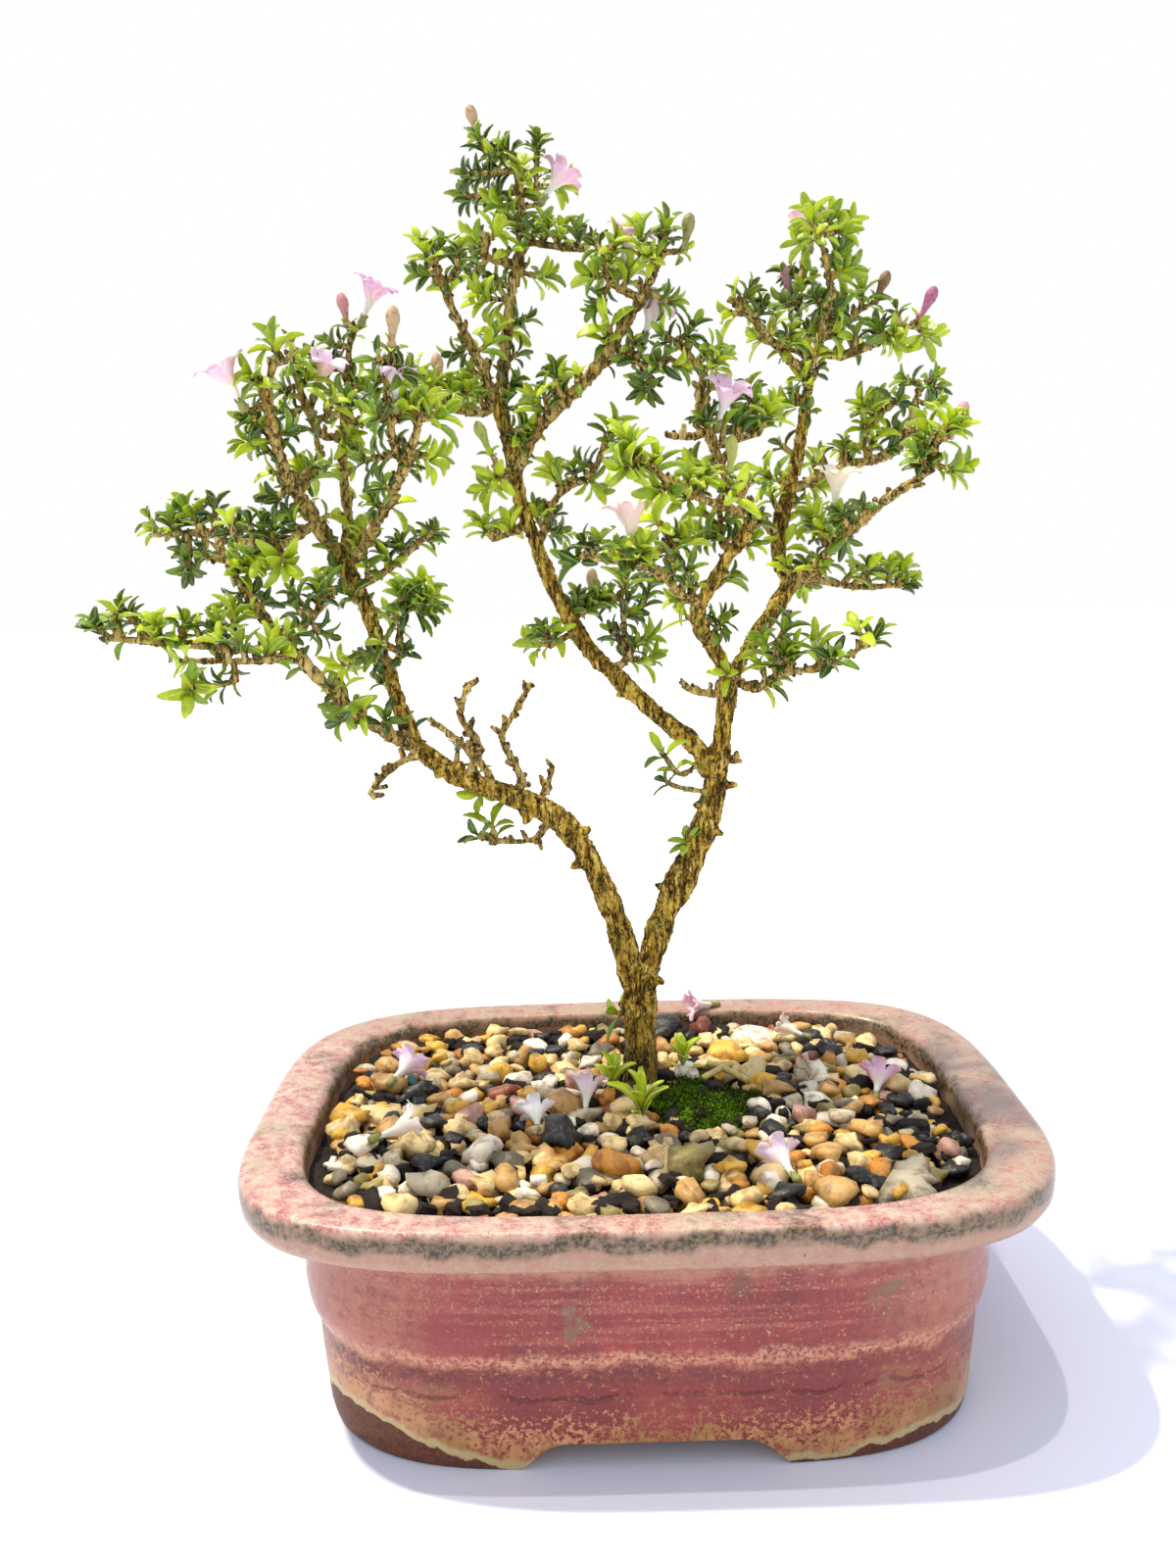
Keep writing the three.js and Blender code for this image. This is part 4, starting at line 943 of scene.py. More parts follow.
# Branches. The first part of each starts on the thick wood.
BRANCHES: tuple[tuple, ...] = (
  ("branch_left_arm", limb((-46, 126.5, -6, 1.4), (-57, 132.7, -10, 1.2), (-66, 141, -13, 1.2),
    (-72.5, 148.8, -14, 1.2), (-77, 154, -12, 1.1), (-84.7, 165.5, -8, 0.9), (-88.6, 175.3, -2, 0.7)),
  stem((-95, 175.6, 1), (-102.3, 175.3, 3)), old((-91, 172.3), (-94.5, 171.3)), old((-95, 168.3)),
  old((-88.2, 180.8)), young((-92.2, 177.6), (-94, 180)), old((-97.3, 177.6)), old((-84.5, 176.2)),
  young((-83.7, 167.6)), young((-81.3, 168.8)), old((-86, 160.6)),
  young((-62.4, 136.8)), old((-64, 133.8))),
  ("spray_long_left", stem((-80, 150.4, -14), (-92, 151, -15), (-113.5, 153.3, -18)),
    old((-106.5, 155.3), (-109.5, 158.8)), old((-97, 155.3)), young((-103.2, 155)), young((-100, 151.6)),
    old((-89.3, 155)), young((-86, 157.5)), old((-116, 156))),
  ("spray_low_left", stem((-78, 147.8, -18), (-95.5, 147.9, -23)), old((-87, 143.5), (-92.5, 142.2)),
    young((-96.5, 141.5)), young((-79, 149.5))),
  ("spray_arm_fork", stem((-69, 156.8, -7), (-63.6, 162.2, -3)), old((-72.3, 161.3)), old((-67, 153.3)),
    young((-65.8, 163.6))),
  ("spray_left_stem", stem((-50.6, 147, -8), (-49.7, 154.5, -10), (-47.2, 158.6, -12)), young((-45.5, 162)),
    young((-43.6, 160.3)), old((-49.3, 161.3)), old((-43.9, 157.2))),
  ("spray_left_dark", stem((-53.4, 165.6, 0), (-46.6, 170.8, 3), (-44.3, 172.8, 4)), old((-41.8, 173.8)),
    old((-48.6, 171.3)), old((-52, 169.3))),
  ("branch_crown_left", limb((-61, 168.5, 2, 1.6), (-65.5, 175, 0, 1.7), (-71.5, 185.5, -6, 1.4),
    (-73.7, 191, -9, 1.2), (-75.7, 203, -14, 0.9)),
  stem((-75, 172.4, -9), (-84, 173.9, -12)), old((-76, 175.6)), old((-72.3, 177.2)), young((-74.3, 168.7)),
  old((-78.3, 176.6)), young((-79, 170.6)), old((-75.3, 182.5)), young((-79.6, 194)), old((-78.6, 198.6)),
  stem((-67.6, 186.3, 0), (-64.6, 193, 5)), young((-69, 187.3)), old((-71.8, 196)),
  stem((-74.4, 208.3, -16), (-72.2, 211.6, -17)), young((-78, 207.4)), young((-73.6, 214)),
  bloom("flower_far_left", (-0.45, 1, -0.3), (-80.3, 200.6))),
  ("branch_crown_middle", limb((-61.5, 168, 2, 1.4), (-59.8, 177, 4, 1.3), (-60.3, 189, 8, 1.1),
    (-59, 201, 11, 0.8), (-57.2, 216.3, 14, 0.5)),
  old((-61.8, 209), (-64.2, 210.3)), old((-60.8, 213.7)), young((-56.2, 206.3)), young((-58.8, 191.5)),
  bud(BudSkin.ROSY, (-0.15, 1, 0), (-57.7, 217.4)), bloom("flower_crown", (0.5, 1, -0.2), (-55, 217.3)),
  stem((-65, 196, 5), (-69, 207, 2), (-68.9, 212.3, 1)), old((-71.6, 204.8)), old((-71, 200)),
  young((-66.7, 207)), bloom("flower_inner_left", (0.5, 1, -0.4), (-66, 202.4)),
  stem((-55.4, 197.6, 8), (-63.3, 200.3, 0)), young((-59.4, 202.6)), old((-53.4, 200.3)), young((-55.8, 203.5))),
  ("branch_crown_right", limb((-60, 166.5, 1, 1.1), (-52.3, 179, -7, 1.1), (-46.3, 190, -13, 1),
    (-43.4, 198, -16, 0.7)),
  young((-46, 202)), young((-39.3, 198.6)), young((-42.3, 201.5)), young((-41, 189.6)),
  stem((-48.7, 191, -13), (-50.2, 202.5, -18), (-49, 211.3, -20)), old((-45.9, 208.4)), old((-51.8, 198.8)),
  old((-51.4, 206.6)), bud(BudSkin.TAN, (0.1, 1, 0), (-48.7, 213)),
  bloom("flower_inner_right", (0.1, 1, -0.5), (-48.6, 199.6)), old((-55.3, 190)), old((-53.3, 180.5))),
  ("spray_knot", stem((-31, 199, 9), (-41.6, 201, 4)), young((-41.2, 204)), young((-36.5, 203.3)),
    young((-33.4, 204.3)), young((-44, 206.3)), bud(BudSkin.PEACH, (-0.1, 1, 0.1), (-38.7, 204.6))),
  ("branch_top_left", limb((-26.5, 200, 12, 1.4), (-30, 209, 10, 1.1), (-35.3, 220, 7, 0.8),
    (-38.8, 229, 4, 0.6)),
  old((-41, 227.3)), young((-40.8, 232)), old((-37.6, 232.6)), old((-34.8, 227), (-33.7, 231.6)),
  old((-34.8, 211.5)), young((-28.7, 213))),
  ("branch_crest", limb((-26.5, 200, 12, 1.5), (-23.8, 217, 14, 1.2), (-22.8, 224, 15, 1.3),
    (-20.2, 236, 17, 1.1), (-21.5, 250.3, 18, 0.6)),
  old((-21, 217.6)), old((-17.6, 243), (-16.6, 252.3)), old((-26.6, 250.3), (-28.3, 253)),
   bud(BudSkin.TAN, (-0.25, 1, 0), (-28.8, 253.8)),
  old((-31.2, 246.7)), old((-27.2, 246.6)), old((-31.8, 242.5)), young((-24.4, 250.2)), young((-24.6, 240.6)),
  young((-12.3, 244.6)), bloom("flower_crest", (0.75, 1, 0.3), (-16.6, 240.6)),
  stem((-27.7, 230.6, 12), (-27.4, 234, 11)), old((-31, 226), (-32.3, 229)), young((-30.2, 233.6)),
  young((-25.3, 235.6)), young((-28.6, 222.4)), stem((-10, 231.8, 13), (-6.8, 231.7, 12)), young((-12.3, 234.6)),
  old((-8.6, 234.3)), young((-15.9, 236)), young((-16.3, 226.3))),
  ("spray_step", stem((-17.9, 173, 13), (-14.5, 181.3, 15), (-7, 186.2, 12), (-3.7, 193.6, 10)),
    old((-18.4, 178.3)), old((-15, 173.8)), young((-15.3, 186.6)), old((-8.9, 188.2)), young((-6.6, 183.6)),
    young((-1.9, 195.5))),
  ("branch_east_reach", limb((-23.2, 187, 12, 1.3), (-17.3, 196.5, 9, 1.3), (-8.3, 204.7, 6, 1.3),
    (-2, 212.5, 2, 1.2), (4, 221.5, -2, 0.9), (9, 230.6, -6, 0.6)),
  young((-18.3, 200.5)), old((-13.8, 203.5), (-14.3, 207.5)), stem((-2.2, 225, 1), (-3.2, 230.4, 0)),
  young((-6, 226.2)), old((-4.6, 220.6)), young((-1.2, 232.3)),
  bloom("flower_post", (0.35, 1, -0.3), (-0.6, 225.6)), old((9.6, 235)),
  bud(BudSkin.OLIVE, (0.2, 1, 0), (13.2, 230.8)),
  young((5, 230), (4.2, 233.5)), young((1.8, 226.6)), old((9.8, 220.8)), stem((6, 207.3, -1), (10, 209.3, -4)),
  old((1.7, 209.8)), old((5, 203.3)), young((12.6, 207.8)),
  bloom("flower_east_low", (0.35, 1, 0.4), (4.3, 212.4))),
  ("branch_inner_rise", limb((28.3, 175.5, -11, 1), (21.5, 185, -9, 1), (16.4, 200.5, -6, 0.9),
    (17.2, 205.5, -5, 0.9), (11.6, 212.6, -7, 0.6)),
  old((9.3, 213.6)), old((14.3, 214.8)), young((19.8, 208.6)), bare((15.5, 193.3), (11.2, 193.2)),
  young((14.8, 186.3)), stem((28.6, 193.4, -4)), old((24.6, 195.6)), young((28, 198.6)), young((31.3, 198)),
  bloom("flower_inner_east", (0.3, 1, -0.5), (19.6, 194.2)), bud(BudSkin.LIME, (0.05, 1, -0.2), (22.6, 185.6)),
  old((26.5, 202))),
  ("spray_reach", stem((24, 177.4, -14), (11, 182.7, -22), (3.3, 189.3, -25)), young((1, 192)),
    young((0.6, 187)), young((6.6, 187.6)), young((7.6, 181.8)), old((15.6, 182))),
  ("spray_cluster", stem((11.5, 160, -12), (6, 165, -18), (-9, 168.7, -24)), old((-11.5, 167.7)),
    old((-6.2, 170.6)), young((3, 169.3)), bloom("flower_pale", (-0.05, 1, 0.1), (1.4, 167.7)),
    stem((10.7, 167.6, -10), (7.6, 175.3, -8)), old((10.5, 172.6)), young((13.4, 171.3)), old((6.5, 168.9))),
  ("spray_cluster_mid", stem((20.8, 171, -4), (20.4, 177.6, -2)), young((17.3, 172)), young((22.6, 176))),
  ("spray_mid_rise", stem((-0.6, 146, 8), (-0.6, 151.6, 10), (-1.2, 160, 12)), old((3, 157), (4.7, 160.6)),
    young((3.8, 150.3)), old((0.4, 155.6)), young((0.2, 163.6)), young((3.8, 145.6)), old((-4.4, 159.3))),
  ("spray_low_right", stem((28, 138.7, -6), (34, 142, -9), (44.3, 143.2, -13), (52, 147.7, -16)),
    young((41.5, 147.7)), young((30, 148.3)), old((34.6, 145.6)), old((32.6, 147), (34.6, 152.3)),
    old((54.3, 149.6))),
  ("branch_east_low", limb((35, 159.8, 6, 1.2), (44.5, 168.6, 2, 1.2), (55, 178, -6, 1), (65.5, 185, -11, 0.8),
    (67, 190.7, -13, 0.5)),
  old((41.4, 172.6)), young((40.6, 175.6)), old((47.6, 170.6)), old((46.8, 174.3)),
  bloom("flower_east", (0.05, 1, -0.2), (45, 175.6)), young((65, 193.3)), young((69.3, 194.4)),
  young((71, 184.9)), old((63.6, 187)), bud(BudSkin.PINK, (0.5, 1, 0), (69.6, 191.8))),
  ("spray_wire", stem((41, 162.4, 9), (50.5, 160.5, 11), (58.8, 160.6, 13)), young((57.2, 163.6)),
    young((59.9, 163.6)), old((61.4, 160.8))),
  ("branch_east_high", limb((35.8, 181.5, 10, 1.2), (47, 186, 15, 1.1), (58.5, 189.4, 19, 0.9),
    (62.3, 199.6, 21, 0.6), (63, 203.6, 22, 0.5)),
  old((60.7, 203.4)), old((66.3, 202.6)), young((66, 198.3)), young((62.6, 192)),
  stem((51.3, 192, 17), (56.7, 198.6, 16)), young((51.3, 198.6)), young((53.6, 198.8)), old((57.5, 193.6)),
  young((49.3, 190.2))),
  ("branch_right_crown", stem((34, 210, 7), (25.7, 218.8, 3), (22.6, 221, 2)), old((26.7, 222)),
    old((29.2, 218.6)), old((35.3, 213.5)),
  stem((41.3, 211, 9), (43.8, 222, 7), (41.8, 233, 6)), young((39.8, 236.3)),
    young((43.7, 236.3)), young((46.6, 234.3)), young((38, 231.9)), young((46.8, 225.9)), old((45.6, 229.3)),
    old((41.3, 220.3)),
  stem((37.2, 212, 13), (38, 228, 17)), old((34.8, 219.7)), young((37.8, 221.8)),
    old((35, 225.6)), bud(BudSkin.DUSKY, (-0.15, 1, 0), (35.4, 220.6)),
     bloom("flower_upper_right", (0.15, 1, 0.6), (39.6, 230)),
  stem((47.3, 208.9, 9), (61.8, 215.2, 3)), old((54.6, 214)), young((56.8, 211.9)),
    young((64.4, 212.6)), bud(BudSkin.MAGENTA, (0.5, 1, 0), (62.8, 216)), stem((45, 214.6, 13), (50.5, 218.4, 16)),
    old((45.3, 218.6)), young((50.7, 221.8)), bud(BudSkin.BROWN, (0.45, 1, 0), (53.3, 219.6))),
)


def place(across: float, up: float, back: float) -> Vector:
    """Put a point of the tree where it shows from the front, further away or nearer by its depth.

    Args:
        across: Millimetres to the right, in the trunk's plane.
        up: Millimetres above the table, in the trunk's plane.
        back: How far behind the trunk's plane it is.

    Returns:
        The point.
    """
    in_plane = Vector((across, TREE_PLANE, up))
    return EYE + (in_plane - EYE) * (1 + CROWN_DEPTH * back / (TREE_PLANE - EYE.y))


def nearest(paths: Sequence[Path], target: Row) -> Row:
    """Find the place on some paths that is nearest to a point as seen from the front.

    Args:
        paths: The paths.
        target: The point, across and up.

    Returns:
        Across, up and back of the nearest place.
    """
    samples = [tuple(start[k] + (end[k] - start[k]) * step / 10 for k in range(3))
               for path in paths for start, end in zip(path, path[1:]) for step in range(11)]
    return min(samples, key=lambda row: math.hypot(row[0] - target[0], row[1] - target[1]))


def rooted(paths: Sequence[Path], path: Path) -> Path:
    """Start a part on the wood that carries it.

    Args:
        paths: The wood's paths.
        path: The part's own points.

    Returns:
        The part's rows of across, up and back, its root first.
    """
    rows = [nearest(paths, path[0])]
    for across, up, *own_back in path:
        before = rows[-1]
        run = math.hypot(across - before[0], up - before[1])
        lean = TWIG_LEAN * math.sin(1.7 * across + 2.3 * up)
        rows.append((across, up, own_back[0] if own_back else before[2] + lean * run))
    return tuple(rows)


def traced(rows: Path, step: float, thicker: float = 1.0) -> Course:
    """Round off thick wood.

    Args:
        rows: Rows of across, up, back and radius.
        step: The distance between points of the result.
        thicker: What its radii are multiplied by.

    Returns:
        Points of three places and a radius.
    """
    return smoothed([(*place(*row[:3]), row[3] * thicker) for row in rows], step)


def heading_of(part: Part) -> Vector:
    """Return where a bud or flower points, from its row of across, up and back."""
    across, up, back = part.facing
    return Vector((across, back, up)).normalized()


def grown(parts: Sequence[Part], start_paths: Sequence[Path],
          own_paths: Sequence[Path] = ()) -> list[tuple[Part, Path]]:
    """Give each part of a branch its rows. Only limbs and stems carry other parts.

    Args:
        parts: The branch's parts.
        start_paths: The wood that its first part may stand on.
        own_paths: Its own wood so far.

    Returns:
        Each part with its rows.
    """
    own = list(own_paths)
    result = []
    for part in parts:
        rows = part.path if part.kind is Kind.LIMB else rooted(own or start_paths, part.path)
        if part.kind in (Kind.LIMB, Kind.STEM):
            own.append(rows)
        result.append((part, rows))
    return result


# The pot and what is in it


@dataclass
class BonsaiPot:
    """The glazed oval-cornered pot, thrown round and pressed square, with arched feet and two drain holes."""

    rim_half_length: float = 82.5
    # The floor is flat this far out, and the wall's middle lies here under and over its top
    flat_half: float = 55.0
    wall_top: float = 42.6
    wall_middle: float = 64.5
    rim_middle: float = 72.0
    rim_half_depth: float = 60.6
    outer_share: float = 0.36
    opening_half_length: float = 69.5
    opening_half_depth: float = 52.15
    inner_share: float = 0.65
    steps: int = 208
    arch_height: float = 5.8
    front_arch_half: float = 25.5
    side_arch_half: float = 15.0
    arch_slope: float = 6.0
    drain_radius: float = 6.0
    drain_offset: float = 30.0
    profile: Path = ((0, 6.2), (30, 6.2), (58.2, 6.2), (59.2, 5.6), (59.6, 1), (60.2, 0), (65.7, 0),
                     (66.6, 0.8), (67, 2.5), (67.3, 6), (67.7, 11), (68, 16), (68.1, 19.5), (68.2, 21),
                     (68.8, 22.4), (69.6, 24), (70.1, 26), (70.4, 29), (70.2, 32), (69.6, 35.5),
                     (69.3, 38.5), (69.5, 40.8), (70, 42), (71.5, 42.5), (79.6, 43.1), (81.4, 43.8),
                     (82.4, 45.4), (82.5, 47.6), (82.5, 49.6), (82, 50.8), (81, 51.3), (79.4, 51.4),
                     (75.5, 51.3), (71.9, 51), (70.4, 50.4), (69.8, 49.2), (69.5, 46), (69.4, 44),
                     (63.8, 36), (63, 15), (62, 12), (60, 11), (30, 11), (0, 11))

    def half_depth(self, half_length: float, height: float) -> float:
        """Work out half the plan's depth, which the inside and the outside reach differently.

        Args:
            half_length: Half the plan's length.
            height: The height over the table.

        Returns:
            Half the depth.
        """
        if half_length < (self.wall_middle if height < self.wall_top else self.rim_middle):
            return self.opening_half_depth - self.inner_share * (self.opening_half_length - half_length)
        return self.rim_half_depth - self.outer_share * (self.rim_half_length - half_length)

    def squared(self, bm: bmesh.types.BMesh) -> None:
        """Press the round body into its rounded oblong plan.

        Args:
            bm: The spun body.
        """
        for vertex in bm.verts:
            radius = vertex.co.xy.length
            if radius < 1e-4:
                continue
            cosine, sine = vertex.co.x / radius, vertex.co.y / radius
            depth = self.half_depth(max(radius, self.flat_half), vertex.co.z) * min(1, radius / self.flat_half)
            swell = swelling(cosine, sine)
            vertex.co.x = radius * cosine * swell
            vertex.co.y = depth * sine * swell

    def arch_bar(self, half: float, length: float, along_y: bool) -> bmesh.types.BMesh:
        """Make the bar that cuts one pair of arches through the foot.

        Args:
            half: Half the arch's width at the table.
            length: The bar's length.
            along_y: Whether it runs from front to back.

        Returns:
            The bar.
        """
        bm = bmesh.new()
        bmesh.ops.create_cube(bm, size=1)
        for vertex in bm.verts:
            top = vertex.co.z > 0
            vertex.co.x = math.copysign(half - self.arch_slope if top else half + 1, vertex.co.x)
            vertex.co.y = math.copysign(length / 2, vertex.co.y)
            vertex.co.z = self.arch_height if top else -1
        top_edges = [edge for edge in bm.edges if all(v.co.z > 0 for v in edge.verts)
                     and abs(edge.verts[0].co.x - edge.verts[1].co.x) < 1e-3]
        bmesh.ops.bevel(bm, geom=top_edges, offset=3, offset_type="OFFSET", segments=5, profile=0.5,
                        affect="EDGES", material=-1)
        if not along_y:
            bmesh.ops.rotate(bm, verts=bm.verts, cent=(0, 0, 0), matrix=Matrix.Rotation(math.pi / 2, 3, "Z"))
        return bm

    def drain_bar(self, side: int) -> bmesh.types.BMesh:
        """Make the bar that cuts one drain hole, on the side -1 or 1."""
        bm = bmesh.new()
        bmesh.ops.create_cone(bm, cap_ends=True, segments=40, radius1=self.drain_radius, radius2=self.drain_radius,
                              depth=12, matrix=Matrix.Translation((side * self.drain_offset, 0, 8.6)))
        return bm

    def build(self) -> None:
        """Spin, press and cut the pot, and stand it in the scene."""
        body = spun(self.profile, self.steps)
        self.squared(body)
        mesh = as_mesh(body, "pot")
        cutters = [self.arch_bar(self.front_arch_half, 200, True), self.arch_bar(self.side_arch_half, 240, False),
                   self.drain_bar(-1), self.drain_bar(1)]
        bars = [shown("bar", as_mesh(cutter, "bar")) for cutter in cutters]
        cuts = [("BOOLEAN", {"operation": "DIFFERENCE", "object": bar, "solver": "EXACT"}) for bar in bars]
        bm = reopened(applied(mesh, *cuts))
        for bar in bars:
            bpy.data.objects.remove(bar)
        rough(bm, 22, 0.22)
        for vertex in bm.verts:
            vertex.co.z = max(0, vertex.co.z)
        mesh = applied(as_mesh(bm, "pot"), ("BEVEL", {"width": 0.5, "segments": 2, "limit_method": "ANGLE",
                                                      "angle_limit": math.radians(50)}))
        piece("pot_body", mesh, RaspberryGlaze(), "glaze", "pot")


class StoneTint(Enum):
    """Colours of the pebbles, with the share of each in the mix."""

    CREAM = ("#efd393", 24)
    TAN = ("#c99d58", 14)
    OCHRE = ("#cf8a26", 6)
    YELLOW = ("#e8b43c", 9)
    OLIVE = ("#9c8e4c", 4)
    GREY = ("#7f765f", 5)
    PALE_GREY = ("#cfc2a2", 6)
    BLACK = ("#121110", 14)
    WHITE = ("#fbf0d8", 14)
    PINK = ("#c99a86", 2)
    RED = ("#8f4a30", 1)


@dataclass
class PotSurface:
    """Soil, gravel, bark chips and moss between the pot's walls."""

    half_length: float = 68.6
    half_depth: float = 51.4
    soil_half: Row = (69.3, 52.1)
    soil_height: float = 45.2
    moss_centre: Row = (14, 2)
    moss_half: Row = (11, 14)
    pebbles: int = 620
    # One bright blue-green bead of glass among the stones
    bead_place: Row = (-52.6, 17.2)
    bead_tint: str = "#1f9fb0"
    chip_count: int = 520
    moss_tips: int = 900
    # The share of the stones in the lower layer, and the clear distance from the trunk's axis
    lower_share: float = 0.62
    trunk_room: float = 4.6
    seed: int = 5

    def inside(self, x: float, y: float, margin: float) -> bool:
        """Tell whether a place is inside the walls by a margin."""
        across, back = x / (self.half_length - margin), y / (self.half_depth - margin)
        return abs(across) ** ROUNDNESS + abs(back) ** ROUNDNESS < 1

    def by_moss(self, x: float, y: float) -> bool:
        """Tell whether a stone at a place would lie on the moss."""
        across = (x - self.moss_centre[0]) / (self.moss_half[0] + 1)
        back = (y - self.moss_centre[1]) / (self.moss_half[1] + 1)
        return across ** 2 + back ** 2 < 1

    def pebble_templates(self) -> list[bpy.types.Mesh]:
        """Make a few worn stones of about one millimetre radius.

        Returns:
            The templates.
        """
        templates = []
        for i in range(7):
            bm = bmesh.new()
            bmesh.ops.create_icosphere(bm, subdivisions=2, radius=1)
            rough(bm, 1.0, 1.0, 3.1 * i)
            for _ in range(2 if i % 3 == 0 else 0):
                bmesh.ops.smooth_vert(bm, verts=bm.verts, factor=0.35, use_axis_x=True, use_axis_y=True,
                                      use_axis_z=True)
            templates.append(as_mesh(bm, "pebble"))
        return templates

    def soil(self) -> None:
        """Lay the crumbly soil that shows between the stones."""
        bm = bmesh.new()
        bmesh.ops.create_grid(bm, x_segments=110, y_segments=84, size=1)
        for vertex in bm.verts:
            u, v = vertex.co.x, vertex.co.y
            if abs(u) + abs(v) > 1e-6:
                shrink = max(abs(u), abs(v)) / math.hypot(u, v)
                swell = (u * u * u * u + v * v * v * v) ** 0.25 / math.hypot(u, v)
                reach = shrink / swell
                u, v = u * reach, v * reach
            vertex.co = (u * self.soil_half[0], v * self.soil_half[1], self.soil_height)
        for vertex in bm.verts:
            vertex.co.z += 1.1 * noise.noise(vertex.co / 5) + 0.7 * noise.noise(vertex.co / 1.7)
        bmesh.ops.solidify(bm, geom=bm.faces[:], thickness=1.2)
        piece("soil_surface", as_mesh(bm, "soil"), DampSoil(), "soil", "gravel")

    def stones(self) -> None:
        """Scatter the pebbles in two layers, each where there is room."""
        rng = random.Random(self.seed)
        templates = self.pebble_templates()
        tints, weights = zip(*[(linear(code), weight) for code, weight in (stone.value for stone in StoneTint)])
        bm = bmesh.new()
        laid: list[tuple[float, float, float, float]] = []
        tries = 0
        while len(laid) < self.pebbles and tries < 40000:
            tries += 1
            size = rng.uniform(1.9, 3.4) if rng.random() < 0.8 else rng.uniform(3.4, 4.7)
            upper = len(laid) > self.lower_share * self.pebbles
            x = rng.uniform(-self.half_length, self.half_length)
            y = rng.uniform(-self.half_depth, self.half_depth)
            at_trunk = math.hypot(x - TRUNK_X, y - TREE_PLANE) < self.trunk_room + size
            if not self.inside(x, y, size) or self.by_moss(x, y) or at_trunk:
                continue
            share = 1.05 if upper else 0.78
            if any(layer == upper and math.hypot(x - a, y - b) < share * (size + c) for a, b, c, layer in laid):
                continue
            laid.append((x, y, size, upper))
            height = 45.6 + 0.45 * size + (1.5 if upper else 0)
            turn = Matrix.Rotation(rng.uniform(0, 6.3), 4, "Z") @ Matrix.Rotation(rng.uniform(-0.4, 0.4), 4, "X")
            shares = [rng.uniform(*limits) for limits in ((0.95, 1.25), (0.8, 1), (0.6, 0.85))]
            shape = Matrix.Diagonal((*[size * share for share in shares], 1))
            tint = rng.choices(tints, weights)[0]
            shade = rng.uniform(0.8, 1.12)
            tint = tuple(min(1, channel * shade) for channel in tint[:3]) + (1.0,)
            stamp(bm, rng.choice(templates), Matrix.Translation((x, y, height)) @ turn @ shape, tint=tint)
        bead = Matrix.Translation((*self.bead_place, GRAVEL_TOP + 1.6)) @ Matrix.Scale(1.4, 4)
        stamp(bm, templates[0], bead, tint=linear(self.bead_tint))
        piece("gravel_stones", as_mesh(bm, "stones"), TintedStone(), "gravel", "gravel")

    def chips(self) -> None:
        """Scatter dark bark chips and soil crumbs, most of them along the walls."""
        rng = random.Random(self.seed + 1)
        bm = bmesh.new()
        bmesh.ops.create_cube(bm, size=1.6)
        bmesh.ops.bevel(bm, geom=bm.edges[:], offset=0.25, offset_type="OFFSET", segments=1, profile=0.5,
                        affect="EDGES", material=-1)
        rough(bm, 0.9, 0.35, 2)
        chip = as_mesh(bm, "chip")
        bm = bmesh.new()
        for number in range(self.chip_count):
            angle = rng.uniform(0, 2 * math.pi)
            swell = swelling(math.cos(angle), math.sin(angle))
            reach = rng.choice((rng.uniform(0.85, 0.97), rng.uniform(0.1, 0.97)))
            x = (self.half_length - 2) * reach * swell * math.cos(angle)
            y = (self.half_depth - 2) * reach * swell * math.sin(angle)
            size = rng.uniform(1.2, 2.3) if number % 3 == 0 else rng.uniform(0.5, 1.3)
            turn = Matrix.Rotation(rng.uniform(0, 6.3), 4, "Z") @ Matrix.Rotation(rng.uniform(-0.6, 0.6), 4, "Y")
            shape = Matrix.Diagonal((size * rng.uniform(1, 1.9), size, size * rng.uniform(0.4, 0.8), 1))
            if math.hypot(x - TRUNK_X, y - TREE_PLANE) > self.trunk_room + 0.9:
                stamp(bm, chip, Matrix.Translation((x, y, 46.9 + 0.5 * size)) @ turn @ shape)
        piece("bark_chips", as_mesh(bm, "chips"), DampSoil("damp_chips"), "soil", "gravel", smooth=False)

    def moss(self) -> None:
        """Raise the moss cushion and its short upright tips."""
        bm = bmesh.new()
        bmesh.ops.create_icosphere(bm, subdivisions=5, radius=1)
        for vertex in bm.verts:
            angle = math.atan2(vertex.co.y, vertex.co.x)
            lump = 1.08 + 0.13 * math.sin(5 * angle) + 0.1 * math.cos(3 * angle)
            flat = math.copysign(abs(vertex.co.z) ** 0.45, vertex.co.z)
            vertex.co = Vector((self.moss_centre[0] + self.moss_half[0] * lump * vertex.co.x,
                                self.moss_centre[1] + self.moss_half[1] * lump * vertex.co.y,
                                GRAVEL_TOP - 1.1 + 3.0 * flat))
        rough(bm, 4.5, 1.5)
        rough(bm, 1.2, 0.7, 3)
        rng = random.Random(8)
        seats = [(vertex.co.copy(), vertex.normal.copy()) for vertex in bm.verts if vertex.normal.z > 0.25]
        tip = bmesh.new()
        bmesh.ops.create_cone(tip, segments=4, radius1=0.2, radius2=0.05, depth=1.2, cap_ends=True,
                              matrix=Matrix.Translation((0, 0, 0.5)))
        template = as_mesh(tip, "moss_tip")
        for seat, normal in rng.sample(seats, min(self.moss_tips, len(seats))):
            lean = Vector((rng.uniform(-0.5, 0.5), rng.uniform(-0.5, 0.5), 0))
            stamp(bm, template, standing_matrix(seat, normal + lean, rng.uniform(0.6, 1.2)))
        piece("moss_cushion", as_mesh(bm, "moss"), GreenMoss(), "moss", "moss")

    def build(self) -> None:
        """Lay soil, stones, chips and moss."""
        self.soil()
        self.stones()
        self.chips()
        self.moss()
        dressed(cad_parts["soil"].data, DampSoil())


